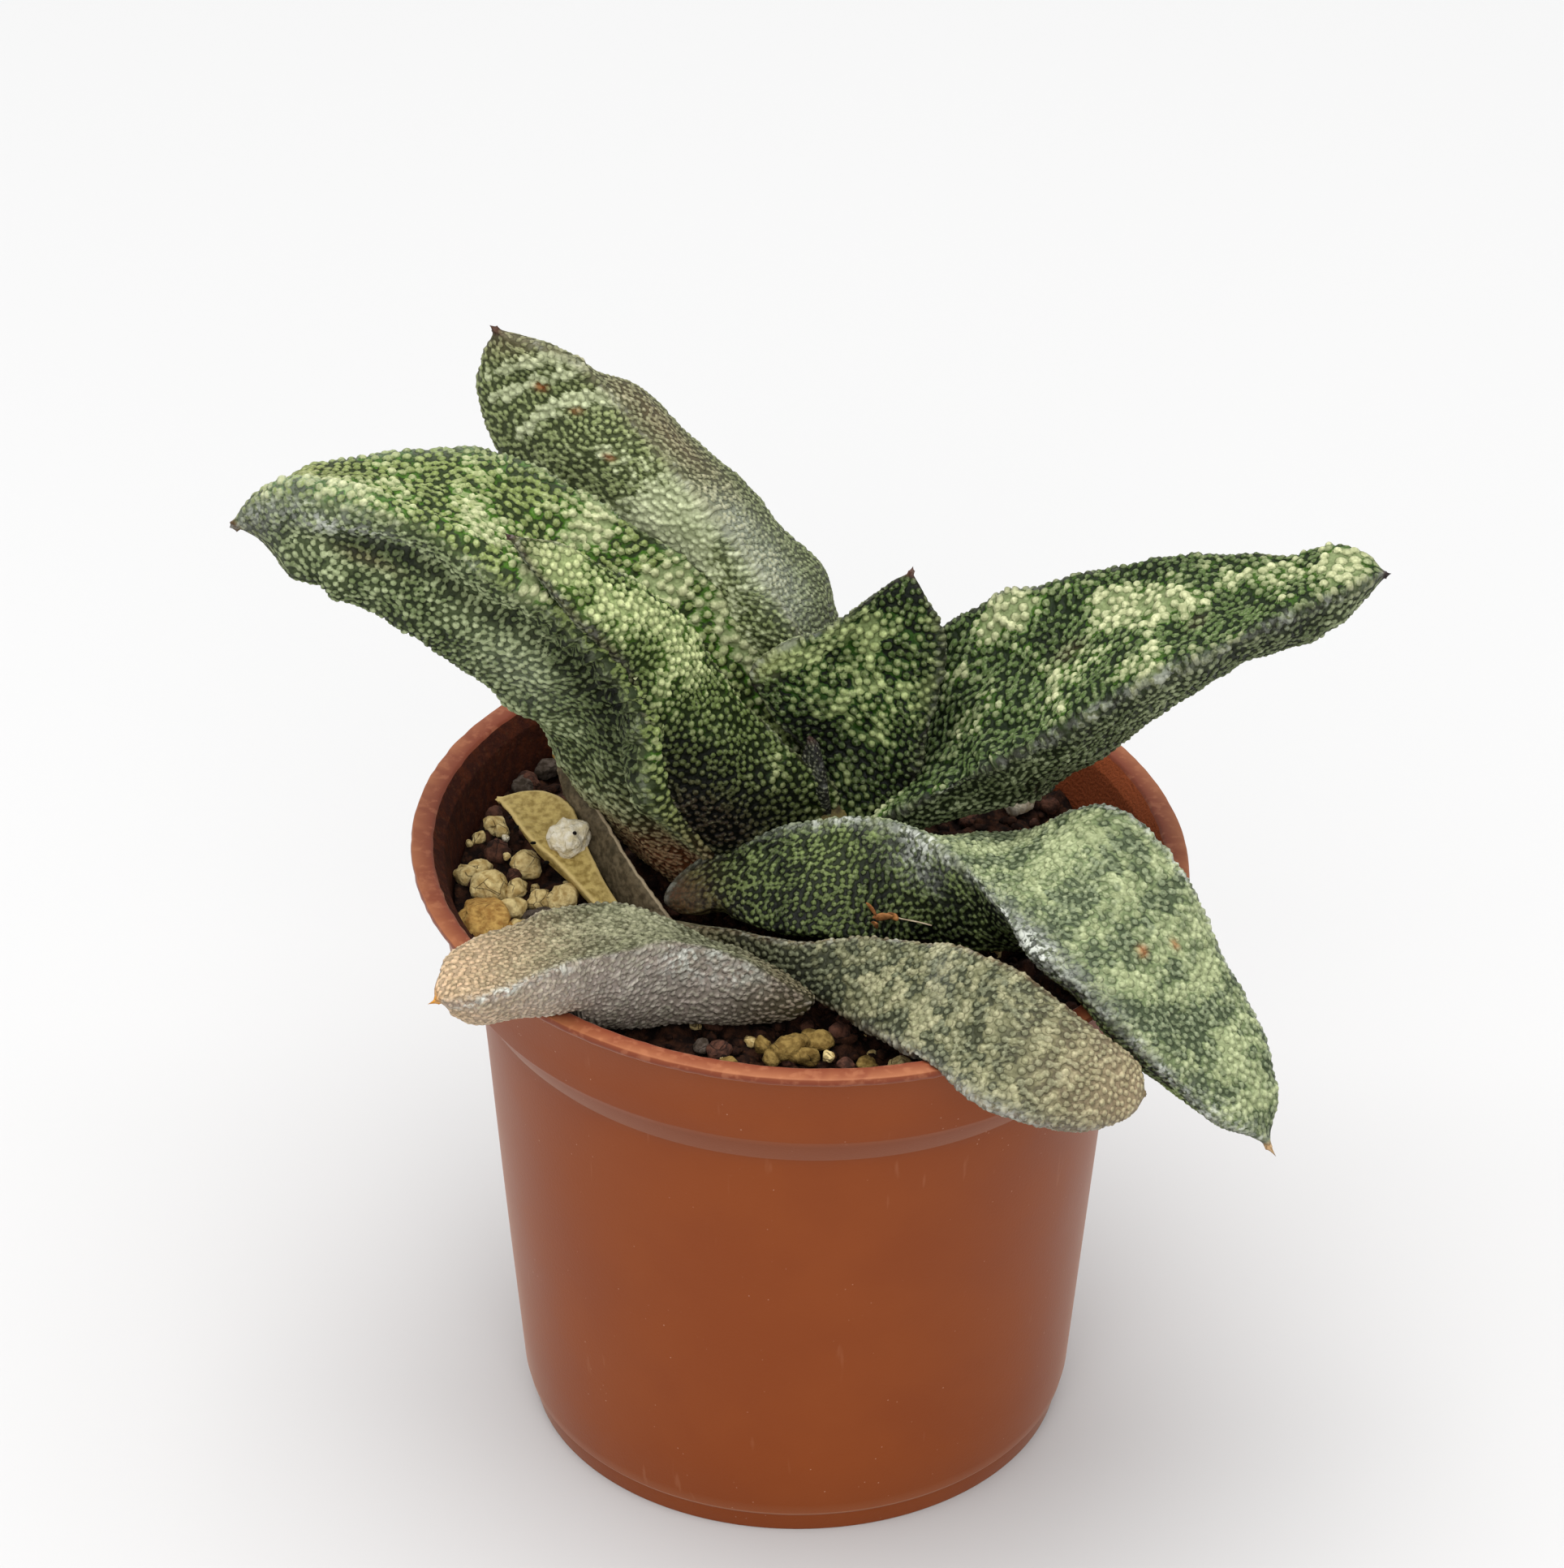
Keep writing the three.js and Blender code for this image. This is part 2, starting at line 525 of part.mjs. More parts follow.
/** Upright curled strip, one strip of quads per side. */
function sheathSolid(extra = 0) {
  const half = SHEATH_THICKNESS / 2 + extra;
  const positions = [];
  const corners = SHEATH_SECTION.length;
  for (let i = 0; i < SHEATH_STEPS; i += 1) {
    const t = i / (SHEATH_STEPS - 1);
    const [x, y, z, h] = curveRow(SHEATH, t);
    const ahead = curveRow(SHEATH, t + 0.01);
    const behind = curveRow(SHEATH, t - 0.01);
    const side = new THREE.Vector3(behind[1] - ahead[1], ahead[0] - behind[0], 0).normalize();
    const curl = 0.5 * Math.sin(9 * t);
    for (const [a, b] of SHEATH_SECTION) {
      const lean = curl * b;
      const rise = (h + extra) * b + (b > 0 ? 0.25 * Math.sin(31 * t) : 0);
      positions.push(x + side.x * (a * half + lean), y + side.y * (a * half + lean), z + rise);
    }
  }
  const indices = [];
  const end = corners * (SHEATH_STEPS - 1);
  for (let first = 0; first < end; first += corners) {
    for (let j = 0; j < corners; j += 1) {
      const a = first + j;
      const b = first + ((j + 1) % corners);
      indices.push(a, b, b + corners, a, b + corners, a + corners);
    }
  }
  for (let j = 1; j < corners - 1; j += 1) {
    indices.push(0, j + 1, j, end, end + j, end + j + 1);
  }
  return solidFrom(positions, indices);
}

// ---------------------------------------------------------------- assembly
/** Named mesh with its own plain material. */
function meshOf(name, solid, colour, roughness) {
  const { vertProperties, triVerts } = solid.getMesh();
  const geometry = new THREE.BufferGeometry();
  geometry.setAttribute("position", new THREE.BufferAttribute(Float32Array.from(vertProperties), 3));
  geometry.setIndex(Array.from(triVerts));
  geometry.computeVertexNormals();
  const material = new THREE.MeshStandardMaterial({ color: colour, roughness, metalness: 0 });
  material.name = `${name}_finish`;
  const mesh = new THREE.Mesh(geometry, material);
  mesh.name = name;
  return mesh;
}

// Each leaf is trimmed by the ones named before it, so neighbours keep their clearance.
const ORDER = [
  "leaf_front_right", "leaf_left", "leaf_front", "leaf_front_left", "leaf_left_inner", "leaf_right",
  "leaf_heart", "leaf_bud", "leaf_back_left", "dry_leaf",
];

const plant = new THREE.Group();
plant.name = "gasteria_in_pot";

const pot = potSolid();
const stem = stemSolid();
const grown = [stemSolid(FIT)];
const rim = rimClearance();
plant.add(meshOf("pot", pot, "#96502c", 0.55));
plant.add(meshOf("stem", stem, "#8c8a5a", 0.7));
for (const name of ORDER) {
  const leaf = LEAVES[name];
  const trimmed = [rim, ...grown].reduce((body, other) => body.subtract(other), leafSolid(leaf));
  grown.push(leafSolid(leaf, FIT));
  plant.add(meshOf(name, mainPiece(trimmed), leaf.colour, 0.5));
}
const sheath = mainPiece(grown.reduce((body, other) => body.subtract(other), sheathSolid()));
grown.push(sheathSolid(FIT));
plant.add(meshOf("dry_sheath", sheath, "#7d705a", 0.8));
const soil = mainPiece(grown.reduce((body, other) => body.subtract(other), soilSolid()));
plant.add(meshOf("substrate", soil, "#4a3728", 0.95));

export default plant;
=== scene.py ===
"""Potted gasteria: nine warty leaves, a dead leaf, a short stem and gritty soil in a thin plastic pot.

Lengths inside the classes are millimetres. The frame's origin is the centre of the pot's base on the
table, +Z is up and the front of the pot faces -Y. A mesh is turned to metres when it is written.
"""
import logging
import math
from dataclasses import dataclass, field
from enum import Enum

import bmesh
import bpy
import numpy as np
from mathutils import Matrix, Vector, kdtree


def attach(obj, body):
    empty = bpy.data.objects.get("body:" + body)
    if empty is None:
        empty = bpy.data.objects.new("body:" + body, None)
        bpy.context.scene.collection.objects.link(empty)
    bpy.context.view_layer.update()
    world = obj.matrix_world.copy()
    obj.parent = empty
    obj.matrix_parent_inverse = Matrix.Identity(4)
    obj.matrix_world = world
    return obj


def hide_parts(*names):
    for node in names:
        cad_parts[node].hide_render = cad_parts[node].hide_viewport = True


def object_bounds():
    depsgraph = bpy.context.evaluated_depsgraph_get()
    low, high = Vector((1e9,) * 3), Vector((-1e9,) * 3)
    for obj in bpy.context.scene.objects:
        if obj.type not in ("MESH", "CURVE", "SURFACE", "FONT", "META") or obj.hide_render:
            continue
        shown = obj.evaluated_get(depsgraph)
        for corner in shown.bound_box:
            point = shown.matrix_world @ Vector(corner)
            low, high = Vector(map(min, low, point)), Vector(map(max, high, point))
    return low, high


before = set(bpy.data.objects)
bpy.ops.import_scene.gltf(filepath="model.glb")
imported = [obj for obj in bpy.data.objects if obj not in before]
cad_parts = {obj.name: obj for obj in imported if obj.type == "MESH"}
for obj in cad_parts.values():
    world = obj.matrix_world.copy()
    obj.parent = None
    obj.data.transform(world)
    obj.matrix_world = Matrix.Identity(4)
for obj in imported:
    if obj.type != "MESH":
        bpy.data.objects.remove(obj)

log = logging.getLogger("gasteria")
CAD_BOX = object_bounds()
MM = 0.001
BODY = "root"
TURN = 2 * math.pi

# ------------------------------------------------------------------ numbers and noise


def linear(colour: str) -> tuple[float, float, float, float]:
    """Turn an sRGB hex colour into linear light.

    Args:
        colour: the colour as "#rrggbb".

    Returns:
        Red, green, blue and an alpha of one.
    """
    parts = [int(colour[i:i + 2], 16) / 255 for i in (1, 3, 5)]
    light = [c / 12.92 if c <= 0.04045 else ((c + 0.055) / 1.055) ** 2.4 for c in parts]
    return light[0], light[1], light[2], 1.0


def smooth(x: np.ndarray, low: float, high: float) -> np.ndarray:
    """Ease from zero at low to one at high.

    Args:
        x: the values.
        low: where the ease starts.
        high: where it ends.

    Returns:
        Values between zero and one.
    """
    t = np.clip((x - low) / (high - low), 0, 1)
    return t * t * (3 - 2 * t)


def lattice(cells: np.ndarray, seed: int) -> np.ndarray:
    """Give each whole-numbered lattice point a repeatable value.

    Args:
        cells: whole numbers, three in the last axis.
        seed: number of the pattern.

    Returns:
        Values from -1 to 1.
    """
    c = cells.astype(np.int64)
    h = c[..., 0] * 73856093 ^ c[..., 1] * 19349663 ^ c[..., 2] * 83492791 ^ (seed * 2654435761 % 2**31)
    h = (h ^ (h >> 13)) * 1274126177 & 0x7FFFFFFF
    h = (h ^ (h >> 11)) * 2246822519 & 0x7FFFFFFF
    return (h % 65536) / 32767.5 - 1


def cloud(points: np.ndarray, size: float, seed: int, octaves: int = 2) -> np.ndarray:
    """Soft noise in space.

    Args:
        points: positions in millimetres, three in the last axis.
        size: width of one lump in millimetres.
        seed: number of the pattern.
        octaves: how many times a finer layer is added.

    Returns:
        Values from about -1 to 1.
    """
    total = np.zeros(points.shape[:-1])
    for octave in range(octaves):
        p = points / size * 2**octave + 17.3 * octave
        low = np.floor(p)
        f = p - low
        f = f * f * (3 - 2 * f)
        layer = np.zeros(points.shape[:-1])
        for corner in np.ndindex(2, 2, 2):
            share = [f[..., n] if on else 1 - f[..., n] for n, on in enumerate(corner)]
            layer += lattice(low + corner, seed + octave) * share[0] * share[1] * share[2]
        total += layer * 0.5**octave
    return total * 1.15


def curve(rows: np.ndarray, t: np.ndarray) -> np.ndarray:
    """Pass a smooth curve through rows of numbers.

    Args:
        rows: one row per station.
        t: shares of the way from the first row to the last.

    Returns:
        One row of numbers for each share.
    """
    span = len(rows) - 1
    x = np.clip(t, 0, 1) * span
    i = np.minimum(x.astype(int), span - 1)
    f = (x - i)[:, None]
    b, c = rows[i], rows[i + 1]
    a = np.where((i > 0)[:, None], rows[np.maximum(i - 1, 0)], 2 * b - c)
    d = np.where((i < span - 1)[:, None], rows[np.minimum(i + 2, span)], 2 * c - b)
    cubic = (3 * b - a - 3 * c + d) * f**3
    return 0.5 * (2 * b + (c - a) * f + (2 * a - 5 * b + 4 * c - d) * f**2 + cubic)


def even(x: np.ndarray, y: np.ndarray, count: int) -> tuple[np.ndarray, np.ndarray]:
    """Spread points evenly along a line, without its last point.

    Args:
        x: first coordinate of the line's points.
        y: second coordinate.
        count: number of points wanted.

    Returns:
        The two coordinates of the even points.
    """
    run = np.concatenate([[0], np.cumsum(np.hypot(np.diff(x), np.diff(y)))])
    at = np.linspace(0, run[-1], count + 1)[:-1]
    return np.interp(at, run, x), np.interp(at, run, y)


# ------------------------------------------------------------------ meshes and materials


def positions(mesh: bpy.types.Mesh) -> np.ndarray:
    """Read a mesh's vertices.

    Args:
        mesh: the mesh, in metres.

    Returns:
        One row per vertex, in millimetres.
    """
    co = np.zeros(len(mesh.vertices) * 3)
    mesh.vertices.foreach_get("co", co)
    return co.reshape(-1, 3) / MM


def write_positions(mesh: bpy.types.Mesh, points: np.ndarray) -> None:
    """Move a mesh's vertices.

    Args:
        mesh: the mesh.
        points: one row per vertex, in millimetres.
    """
    mesh.vertices.foreach_set("co", (points.reshape(-1, 3) * MM).astype(np.float32).ravel())
    mesh.update()


def write_marks(mesh: bpy.types.Mesh, name: str, *values: np.ndarray) -> None:
    """Store up to three numbers per vertex for the material to read.

    Args:
        mesh: the mesh.
        name: name of the attribute.
        values: one to three arrays, one number per vertex each.
    """
    data = np.zeros((len(mesh.vertices), 3), np.float32)
    for column, value in enumerate(values):
        data[:, column] = value.ravel()
    mesh.attributes.new(name, "FLOAT_VECTOR", "POINT").data.foreach_set("vector", data.ravel())


def mesh_of(bm: bmesh.types.BMesh, name: str) -> bpy.types.Mesh:
    """Write a bmesh to a new mesh with smooth faces, and free it.

    Args:
        bm: the form.
        name: name of the mesh.

    Returns:
        The mesh.
    """
    mesh = bpy.data.meshes.new(name)
    bm.to_mesh(mesh)
    bm.free()
    mesh.shade_smooth()
    return mesh


def turned(profile: list | np.ndarray, steps: int) -> bmesh.types.BMesh:
    """Turn a profile around the Z axis.

    Args:
        profile: radius and height of its points, in millimetres.
        steps: number of steps around.

    Returns:
        The form, its seam and its poles closed.
    """
    bm = bmesh.new()
    dots = [bm.verts.new((r * MM, 0, z * MM)) for r, z in profile]
    lines = [bm.edges.new(pair) for pair in zip(dots, dots[1:])]
    bmesh.ops.spin(bm, geom=dots + lines, cent=(0, 0, 0), axis=(0, 0, 1), angle=TURN, steps=steps,
                   use_merge=True)
    bmesh.ops.remove_doubles(bm, verts=bm.verts, dist=0.001 * MM)
    return bm


def sheet(name: str, points: np.ndarray) -> bpy.types.Mesh:
    """Lay a grid of faces over rows of points.

    Args:
        name: name of the mesh.
        points: rows of points, in millimetres.

    Returns:
        The mesh, in place.
    """
    rows, count = points.shape[:2]
    bm = bmesh.new()
    bmesh.ops.create_grid(bm, x_segments=count - 1, y_segments=rows - 1, size=0.5)
    mesh = mesh_of(bm, name)
    write_positions(mesh, points)
    return mesh


def finish_mesh(mesh: bpy.types.Mesh, merge: float = 0.002) -> None:
    """Close seams and poles and turn every face outwards.

    Args:
        mesh: the mesh.
        merge: vertices closer than this, in millimetres, become one.
    """
    bm = bmesh.new()
    bm.from_mesh(mesh)
    bmesh.ops.remove_doubles(bm, verts=bm.verts, dist=merge * MM)
    bmesh.ops.dissolve_degenerate(bm, dist=1e-7, edges=bm.edges)
    bmesh.ops.recalc_face_normals(bm, faces=bm.faces)
    bm.to_mesh(mesh)
    bm.free()
    mesh.shade_smooth()


def piece(name: str, mesh: bpy.types.Mesh, material: bpy.types.Material, slot: str, *nodes: str) -> None:
    """Make a finished piece of the object and hang it on its body.

    Args:
        name: name of the piece.
        mesh: its mesh, in place.
        material: its finish.
        slot: material slot of the record; not used.
        nodes: the solids that it stands for.
    """
    made = bpy.data.objects.new(name, mesh)
    bpy.context.scene.collection.objects.link(made)
    mesh.materials.clear()
    mesh.materials.append(material)
    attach(made, BODY)
    if nodes:
        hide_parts(*nodes)
    log.info("%s: %d faces", name, len(mesh.polygons))


def node(tree: bpy.types.NodeTree, kind: str, settings: dict | None = None,
         **inputs: object) -> bpy.types.Node:
    """Add one shader node with its settings and links.

    Args:
        tree: the node tree.
        kind: type of the node.
        settings: properties of the node.
        inputs: an output to link or a value, by the input's name with spaces as underscores, or by
            its number after the letter i.

    Returns:
        The new node.
    """
    made = tree.nodes.new(kind)
    for key, value in (settings or {}).items():
        setattr(made, key, value)
    for key, value in inputs.items():
        socket = made.inputs[int(key[1:]) if key[1:].isdigit() else key.replace("_", " ")]
        if isinstance(value, bpy.types.NodeSocket):
            tree.links.new(value, socket)
        else:
            socket.default_value = value
    return made


class Blend(Enum):
    """How one colour is laid on another."""

    MIX = "MIX"
    MULTIPLY = "MULTIPLY"


@dataclass
class Paint:
    """Builds one material from layers of colour.

    Attributes:
        name: common name of the real material.
        roughness: of the surface.
        ior: index of refraction.
        sheen: weight of the soft reflection at grazing angles.
        shine: strength of the mirror-like reflection, 0.5 for a clean surface.
    """

    name: str
    roughness: float
    ior: float = 1.45
    sheen: float = 0.0
    shine: float = 0.5
    material: bpy.types.Material = field(init=False)

    SHEEN_ROUGHNESS = 0.35
    SHEEN_TINT = "#ffe9d8"

    def __post_init__(self) -> None:
        """Start the material with its shader and the object's own coordinates."""
        self.material = bpy.data.materials.new(self.name)
        self.material.use_nodes = True
        self.tree = self.material.node_tree
        self.shader = self.tree.nodes["Principled BSDF"]
        constants = {
            "Roughness": self.roughness, "IOR": self.ior, "Specular IOR Level": self.shine,
            "Sheen Weight": self.sheen, "Sheen Roughness": self.SHEEN_ROUGHNESS,
            "Sheen Tint": linear(self.SHEEN_TINT),
        }
        for name, value in constants.items():
            self.shader.inputs[name].default_value = value
        self.place = node(self.tree, "ShaderNodeTexCoord").outputs["Object"]

    def marks(self, name: str) -> list[bpy.types.NodeSocket]:
        """Read the three numbers stored on the vertices under one name."""
        source = node(self.tree, "ShaderNodeAttribute", {"attribute_name": name})
        return list(node(self.tree, "ShaderNodeSeparateXYZ", Vector=source.outputs["Vector"]).outputs)

    def grain(self, size: float, detail: float = 2.0, stretch: tuple = (1, 1, 1)) -> bpy.types.NodeSocket:
        """Make soft noise whose lumps are so many millimetres wide.

        Args:
            size: width of a lump in millimetres.
            detail: number of finer layers.
            stretch: factor of the pattern's frequency along X, Y and Z.

        Returns:
            The noise, from zero to one.
        """
        scaled = node(self.tree, "ShaderNodeMapping", Vector=self.place, Scale=stretch)
        noise = node(self.tree, "ShaderNodeTexNoise", Vector=scaled.outputs[0], Scale=1 / (size * MM),
                     Detail=detail)
        return noise.outputs["Fac"]

    def cells(self, size: float, feature: str = "F1") -> bpy.types.NodeSocket:
        """Make a pattern of cells so many millimetres wide, as distances from zero to about one."""
        return node(self.tree, "ShaderNodeTexVoronoi", {"feature": feature}, Vector=self.place,
                    Scale=1 / (size * MM)).outputs["Distance"]

    def ease(self, value: bpy.types.NodeSocket, low: float, high: float,
             top: float = 1.0) -> bpy.types.NodeSocket:
        """Ease a value from zero at low to top at high."""
        return node(self.tree, "ShaderNodeMapRange", {"interpolation_type": "SMOOTHSTEP"}, Value=value,
                    From_Min=low, From_Max=high, To_Max=top).outputs[0]

    def spread(self, value: bpy.types.NodeSocket, low: float, high: float) -> bpy.types.NodeSocket:
        """Stretch a value that runs from zero to one so that it runs from low to high."""
        return node(self.tree, "ShaderNodeMapRange", Value=value, To_Min=low, To_Max=high).outputs[0]

    def maths(self, how: str, a: object, b: object = 0.0) -> bpy.types.NodeSocket:
        """Work out one number from two."""
        return node(self.tree, "ShaderNodeMath", {"operation": how}, i0=a, i1=b).outputs[0]

    def times(self, a: object, b: object) -> bpy.types.NodeSocket:
        """Multiply two numbers."""
        return self.maths("MULTIPLY", a, b)

    def layer(self, share: object, under: object, over: object,
              how: Blend = Blend.MIX) -> bpy.types.NodeSocket:
        """Lay one colour on another.

        Args:
            share: how much of the upper colour shows.
            under: lower colour, as a hex string or an output.
            over: upper colour.
            how: way of laying it.

        Returns:
            The mixed colour.
        """
        low, high = (linear(side) if isinstance(side, str) else side for side in (under, over))
        settings = {"data_type": "RGBA", "blend_type": how.value}
        return node(self.tree, "ShaderNodeMix", settings, i0=share, i6=low, i7=high).outputs[2]

    def done(self, colour: bpy.types.NodeSocket, height: bpy.types.NodeSocket | None = None,
             depth: float = 0.1, roughness: bpy.types.NodeSocket | None = None) -> bpy.types.Material:
        """Join the colour, the relief and the roughness to the shader.

        Args:
            colour: colour of the surface.
            height: relief from zero to one.
            depth: height of the relief in millimetres.
            roughness: roughness where it varies.

        Returns:
            The finished material.
        """
        self.tree.links.new(colour, self.shader.inputs["Base Color"])
        if roughness is not None:
            self.tree.links.new(roughness, self.shader.inputs["Roughness"])
        if height is not None:
            bump = node(self.tree, "ShaderNodeBump", Height=height, Distance=depth * MM, Strength=1.0)
            self.tree.links.new(bump.outputs[0], self.shader.inputs["Normal"])
        return self.material


# ------------------------------------------------------------------ finishes


@dataclass(frozen=True)
class LeafSkin:
    """Skin of a succulent leaf: dark green waxy ground under raised warts.

    Attributes:
        ground: colour between the warts on the face, in a dark patch.
        lush: colour between them in a pale patch.
        wart: colour of a wart in a dark patch.
        pale: colour of a wart in a pale patch.
        flank: colour between the warts on the underside.
        flank_wart: colour of a wart on the underside, in a dark patch.
        flank_pale: colour of a wart on the underside, in a pale patch.
        margin: colour along the edges.
        tint: colour of the warts in a stained area.
        stain: colour between them.
        bloom: colour of the dull veil.
        tip: colour of the pointed tip.
        gleam: colour of the painted glints, small highlights on the crowns of the warts.
        rust: colour of a small dead spot.
        dust: colour of dried mineral dust.
        merge: how far the warts of a pale patch run together.
        roughness: waxy, so a broad soft shine.
    """

    ground: str = "#1d2b11"
    lush: str = "#35521b"
    wart: str = "#5f6f45"
    pale: str = "#cfd8a8"
    flank: str = "#262f19"
    flank_wart: str = "#69745a"
    flank_pale: str = "#a9b28c"
    margin: str = "#4a4840"
    tint: str = "#8e7a5c"
    stain: str = "#3a2a1c"
    bloom: str = "#a2a89a"
    tip: str = "#4a3226"
    gleam: str = "#dfe2b8"
    rust: str = "#a8562a"
    dust: str = "#d5d8cf"
    merge: float = 0.45
    roughness: float = 0.5

    def material(self, name: str) -> bpy.types.Material:
        """Build the finish of one leaf.

        Args:
            name: name of the material.

        Returns:
            The material. Pale round warts on a darker ground give the eye the pebbled look, the dust
            gives the dry grey veil along the edges.
        """
        paint = Paint(name, self.roughness, ior=1.4, shine=0.2)
        reach, pale, tone = paint.marks("wart_look")
        face, edge, dust = paint.marks("zones")
        tint, bloom, rust = paint.marks("stains")
        # The share of the tip's own colour, and the painted shade.
        end, deep, _ = paint.marks("ends")
        # The skin's own cells are about 0.1 mm wide. They are drawn at 0.35 and 0.5 mm so that they show.
        fine = paint.grain(0.35, 3)
        granules = paint.cells(0.5)
        ragged = paint.maths("ADD", reach, paint.times(paint.maths("SUBTRACT", fine, 0.5), 0.7))
        crown = paint.ease(ragged, 1.02, 0.66)
        gaps = paint.layer(paint.ease(pale, 0.05, 0.5), self.ground, self.lush)
        gaps = paint.layer(paint.ease(pale, 0.55, 0.98, self.merge), gaps, self.pale)
        below = paint.layer(paint.times(pale, 0.4), self.flank, self.flank_wart)
        under = paint.layer(pale, self.flank_wart, self.flank_pale)
        body = paint.layer(face, under, paint.layer(pale, self.wart, self.pale))
        body = paint.layer(paint.ease(tone, 0.2, 1.0, 0.35), body, "#8f9a74", Blend.MULTIPLY)
        colour = paint.layer(crown, paint.layer(face, below, gaps), body)
        colour = paint.layer(tint, colour, paint.layer(crown, self.stain, self.tint))
        colour = paint.layer(edge, colour, self.margin)
        colour = paint.layer(paint.ease(granules, 0.2, 0.75, 0.35), colour, "#7d8460", Blend.MULTIPLY)
        # Painted highlight: small pale glints on the crowns of the warts.
        flecks = paint.times(crown, paint.ease(fine, 0.45, 0.72, 0.22))
        colour = paint.layer(flecks, colour, self.gleam)
        veil = paint.times(bloom, paint.ease(fine, 0.25, 0.6))
        colour = paint.layer(veil, colour, self.bloom)
        colour = paint.layer(rust, colour, self.rust)
        colour = paint.layer(end, colour, self.tip)
        crust = paint.ease(paint.grain(0.8, 3), 0.42, 0.56)
        colour = paint.layer(paint.times(crust, dust), colour, self.dust)
        patches = paint.ease(paint.grain(2.6, 3), 0.35, 0.7, 0.25)
        colour = paint.layer(patches, colour, "#8f9a80", Blend.MULTIPLY)
        # Painted shade in hollows, under the margins and at the bases; the crowns of the warts keep some of
        # their light.
        shade = paint.times(deep, paint.maths("SUBTRACT", 1.0, paint.times(crown, 0.4)))
        colour = paint.layer(shade, colour, "#5a5c3e", Blend.MULTIPLY)
        round_off = paint.maths("SUBTRACT", 1.0, paint.times(reach, reach))
        dome = paint.maths("SQRT", paint.maths("MAXIMUM", round_off))
        height = paint.maths("ADD", dome, paint.times(fine, 0.25))
        height = paint.maths("SUBTRACT", height, paint.times(granules, 0.3))
        rough = paint.spread(fine, self.roughness - 0.1, self.roughness + 0.16)
        return paint.done(colour, height, 0.26, rough)


@dataclass(frozen=True)
class PotPlastic:
    """Injection-moulded polypropylene, terracotta brown.

    Attributes:
        front: colour of the wall.
        faded: colour of its paler clouds.
        dark: colour of the painted shade on the inside and on the flare under the collar.
        rim: colour of the worn lip.
        flaked: colour of the lip's bare spots.
        line: colour of the edges that catch the light.
        lime: colour of dried splashes.
        scratch: colour of the hairline scratches.
        roughness: slightly satin.
    """

    front: str = "#7e3a10"
    faded: str = "#864115"
    dark: str = "#5a2512"
    rim: str = "#763721"
    flaked: str = "#a06446"
    line: str = "#a86c46"
    lime: str = "#c9a58c"
    scratch: str = "#b58465"
    roughness: float = 0.45

    def material(self) -> bpy.types.Material:
        """Build the finish of the pot.

        Returns:
            The material. A satin brown with pale specks of lime and hairline scratches looks like a
            pot that has been handled and watered.
        """
        paint = Paint("moulded_polypropylene", self.roughness, ior=1.49, shine=0.18, sheen=0.2)
        inside, rim, line = paint.marks("wall")
        cloudy = paint.grain(14, 3)
        colour = paint.layer(paint.ease(cloudy, 0.35, 0.7, 0.5), self.front, self.faded)
        splashed = paint.ease(paint.grain(6, 2), 0.5, 0.62)
        specks = paint.times(paint.ease(paint.cells(1.3), 0.1, 0.02), splashed)
        colour = paint.layer(paint.times(specks, 0.55), colour, self.lime)
        scratches = paint.ease(paint.grain(1.6, 2, (1, 1, 0.12)), 0.7, 0.78, 0.12)
        colour = paint.layer(scratches, colour, self.scratch)
        # Painted shade on the inside of the wall and on the flare, which faces down under the collar.
        colour = paint.layer(inside, colour, self.dark)
        flaked = paint.layer(paint.ease(paint.grain(1.2, 3), 0.5, 0.68, 0.45), self.rim, self.flaked)
        colour = paint.layer(rim, colour, flaked)
        colour = paint.layer(line, colour, self.line)
        rough = paint.spread(cloudy, self.roughness - 0.06, self.roughness + 0.1)
        rough = paint.maths("ADD", rough, paint.times(inside, 0.5))
        # The mould's texture is finer than 0.1 mm. It is drawn at 0.35 mm so that it shows.
        return paint.done(colour, paint.grain(0.35, 2), 0.015, rough)


@dataclass(frozen=True)
class Peat:
    """Loose peat: dark brown crumbs that swallow the light.

    Attributes:
        dark: colour of the crumbs.
        light: colour of the drier ones.
        name: common name of the material.
        dried: colour towards +X, painted light on the side of the inner wall that the light falls on; none if
            empty.
    """

    dark: str = "#140a07"
    light: str = "#3a2216"
    name: str = "loose_peat"
    dried: str = ""

    def material(self) -> bpy.types.Material:
        """Build the finish of the soil.

        Returns:
            The material. Very rough, with lighter fibres among near-black crumbs.
        """
        paint = Paint(self.name, 0.95, shine=0.15)
        colour = paint.layer(paint.ease(paint.grain(1.4, 4), 0.38, 0.7), self.dark, self.light)
        colour = paint.layer(paint.ease(paint.cells(0.9), 0.35, 0.1, 0.4), colour, "#52331f")
        # Painted light: lighter towards +X, where light falls on that side of the inner wall.
        if self.dried:
            side = node(paint.tree, "ShaderNodeSeparateXYZ", Vector=paint.place).outputs[0]
            colour = paint.layer(paint.ease(side, -5 * MM, 35 * MM), colour, self.dried)
        return paint.done(colour, paint.grain(0.4, 3), 0.25)


